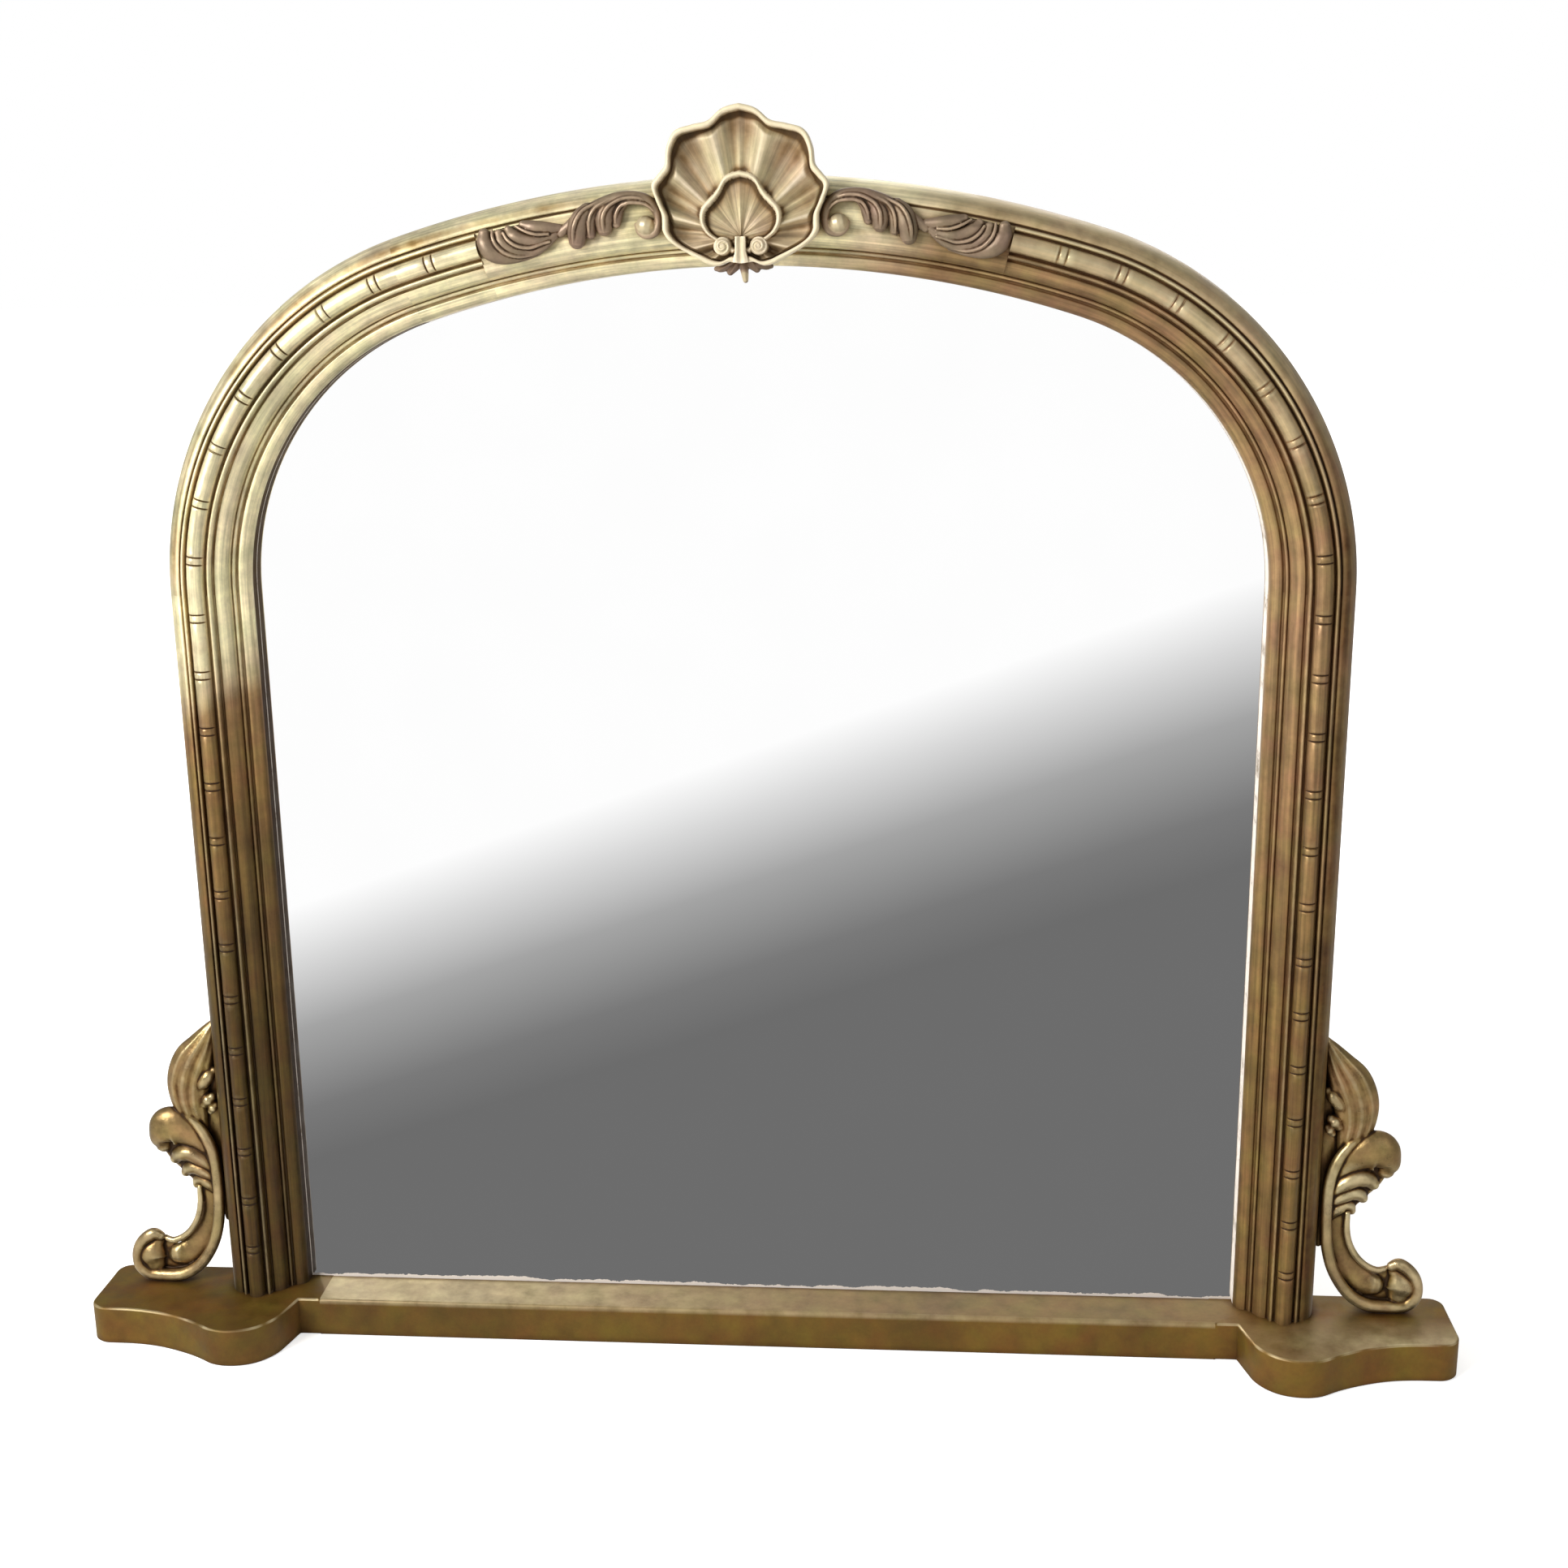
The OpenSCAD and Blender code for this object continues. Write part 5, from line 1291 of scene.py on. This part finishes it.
# The painted reflection that the mirror shows, from its nearest part to where it has faded
PAINTED_REFLECTION = [
    (0.0, linear("#6d6d6d")), (0.2, linear("#7a7a7a")), (0.5, linear("#a5a5a5")), (0.75, linear("#dadada")),
    (0.95, WHITE),
]


def studio_floor():
    """A pale floor: white to the camera, with a shadow, and in the mirror a painted reflection, a grey glow that
    fades to white.
    """
    made, tree, _ = start_material("Studio floor")
    tree.nodes.clear()
    ray = add(tree, "LightPath").outputs
    place = add(tree, "NewGeometry").outputs["Position"]
    axes = add(tree, "SeparateXYZ", {0: place})
    plain = add(tree, "BsdfDiffuse", {"Color": paint("floor")})
    # Away from the object the floor fades to white, so that no horizon shows.
    away = add(tree, "VectorMath", {0: place}, operation="LENGTH").outputs["Value"]
    away = add(tree, "MapRange", {0: away, 1: 1.0, 2: 1.8, 3: 0.63, 4: 1.2})
    lifted = add(tree, "Emission", {"Color": WHITE, "Strength": away})
    shown = add(tree, "AddShader", {0: plain, 1: lifted})
    # Painted reflection: to mirror rays the floor glows grey, fading out over a few metres on a slant.
    reach = add(tree, "Math", {0: REFLECTION_PIVOT, 1: axes.outputs[1]}, operation="SUBTRACT")
    slant = {0: axes.outputs[0], 1: REFLECTION_SLOPE, 2: REFLECTION_SHIFT}
    slant = add(tree, "Math", slant, operation="MULTIPLY_ADD")
    share = add(tree, "Math", {0: slant, 1: reach}, operation="DIVIDE")
    fade = add(tree, "MapRange", {0: share, 1: REFLECTION_WHITE, 2: REFLECTION_GREY, 3: 1.0, 4: 0.0})
    reflection_ramp = add(tree, "ValToRGB", {0: fade})
    ramp_stops(reflection_ramp, PAINTED_REFLECTION)
    mirrored = add(tree, "Emission", {"Color": reflection_ramp, "Strength": 1.0})
    mixed = add(tree, "MixShader", {0: ray["Is Singular Ray"], 1: plain, 2: mirrored})
    final = add(tree, "MixShader", {0: ray["Is Camera Ray"], 1: mixed, 2: shown})
    add(tree, "OutputMaterial", {"Surface": final})
    return made


def studio_world():
    """Soft white surroundings, which the camera and the mirror see as plain white."""
    world = bpy.data.worlds.new("studio")
    world.use_nodes = True
    tree = world.node_tree
    tree.nodes.clear()
    ray = add(tree, "LightPath").outputs
    soft = add(tree, "Background", {"Color": WHITE, "Strength": 0.36})
    white = add(tree, "Background", {"Color": WHITE, "Strength": 1.0})
    rays = {0: ray["Is Camera Ray"], 1: ray["Is Transmission Ray"]}
    clear = add(tree, "Math", rays, operation="MAXIMUM")
    bright = add(tree, "Math", {0: clear, 1: ray["Is Singular Ray"]}, operation="MAXIMUM")
    both = add(tree, "MixShader", {0: bright, 1: soft, 2: white})
    add(tree, "OutputWorld", {"Surface": both})
    return world


def photo_camera():
    """A camera that stands and looks as the photograph's did."""
    camera = bpy.data.cameras.new("camera")
    camera.sensor_width, camera.lens = SENSOR, PHOTO_FOCAL / PHOTO_SIZE * SENSOR
    camera.clip_end = 200
    cos_yaw, sin_yaw = math.cos(CAMERA_YAW), math.sin(CAMERA_YAW)
    cos_pitch, sin_pitch = math.cos(CAMERA_PITCH), math.sin(CAMERA_PITCH)
    ahead = Vector((-sin_yaw * cos_pitch, cos_yaw * cos_pitch, -sin_pitch))
    right = Vector((cos_yaw, sin_yaw, 0))
    down = ahead.cross(right)
    across = math.cos(CAMERA_ROLL) * right + math.sin(CAMERA_ROLL) * down
    below = -math.sin(CAMERA_ROLL) * right + math.cos(CAMERA_ROLL) * down
    turn = Matrix((across, -below, -ahead)).transposed()
    made = bpy.data.objects.new("camera", camera)
    made.matrix_world = Matrix.Translation(CAMERA_PLACE) @ turn.to_4x4()
    return made


class OVERMANTEL_OT_stage(bpy.types.Operator):
    """Sets the camera at the photograph's angle, the pale floor, the soft lamps and the white surroundings"""

    bl_idname = "overmantel.stage"
    bl_label = "Stage"

    def execute(self, context):
        scene = context.scene
        scene.camera = photo_camera()
        scene.collection.objects.link(scene.camera)

        size = 60.0
        mesh = bpy.data.meshes.new("floor")
        corners = [(-size, -size, 0), (size, -size, 0), (size, size, 0), (-size, size, 0)]
        mesh.from_pydata(corners, [], [(0, 1, 2, 3)])
        mesh.materials.append(studio_floor())
        floor = bpy.data.objects.new("floor", mesh)
        # Half a millimetre down, so that it doesn't lie in the underside of the plinth
        floor.location.z = -0.5 * MM
        scene.collection.objects.link(floor)

        for name, place, width, power in LAMPS:
            lamp = bpy.data.lights.new(name, "AREA")
            lamp.size, lamp.energy = width, power
            held = bpy.data.objects.new(name, lamp)
            held.location = place
            ahead = Vector((0, 0, 0.75)) - held.location
            held.rotation_euler = ahead.to_track_quat("-Z", "Y").to_euler()
            scene.collection.objects.link(held)

        scene.world = studio_world()
        scene.view_settings.view_transform = "Standard"
        return {"FINISHED"}


STEPS = (
    OVERMANTEL_OT_stage,
    OVERMANTEL_OT_moulding,
    OVERMANTEL_OT_plinth,
    OVERMANTEL_OT_shell,
    OVERMANTEL_OT_pendant,
    OVERMANTEL_OT_sprays,
    OVERMANTEL_OT_side_scrolls,
    OVERMANTEL_OT_glass,
    OVERMANTEL_OT_back,
)


class OVERMANTEL_PT_panel(bpy.types.Panel):
    """Lists the pieces of the mirror with its sizes and colours"""

    bl_idname = "OVERMANTEL_PT_panel"
    bl_label = "Overmantel mirror"
    bl_space_type = "VIEW_3D"
    bl_region_type = "UI"
    bl_category = "Overmantel"

    def draw(self, context):
        column = self.layout.column(align=True)
        for step in STEPS:
            column.operator(step.bl_idname)
        for held in (context.scene.overmantel_sizes, context.scene.overmantel_colours):
            box = self.layout.box()
            for key in held.__annotations__:
                box.prop(held, key)


CLASSES = (OvermantelSizes, OvermantelColours, *STEPS, OVERMANTEL_PT_panel)


def register():
    for made in CLASSES:
        bpy.utils.register_class(made)
    bpy.types.Scene.overmantel_sizes = PointerProperty(type=OvermantelSizes)
    bpy.types.Scene.overmantel_colours = PointerProperty(type=OvermantelColours)


def unregister():
    del bpy.types.Scene.overmantel_colours
    del bpy.types.Scene.overmantel_sizes
    for made in reversed(CLASSES):
        bpy.utils.unregister_class(made)


def main():
    register()
    for step in STEPS:
        area, name = step.bl_idname.split(".")
        getattr(getattr(bpy.ops, area), name)()


if __name__ == "__main__":
    main()
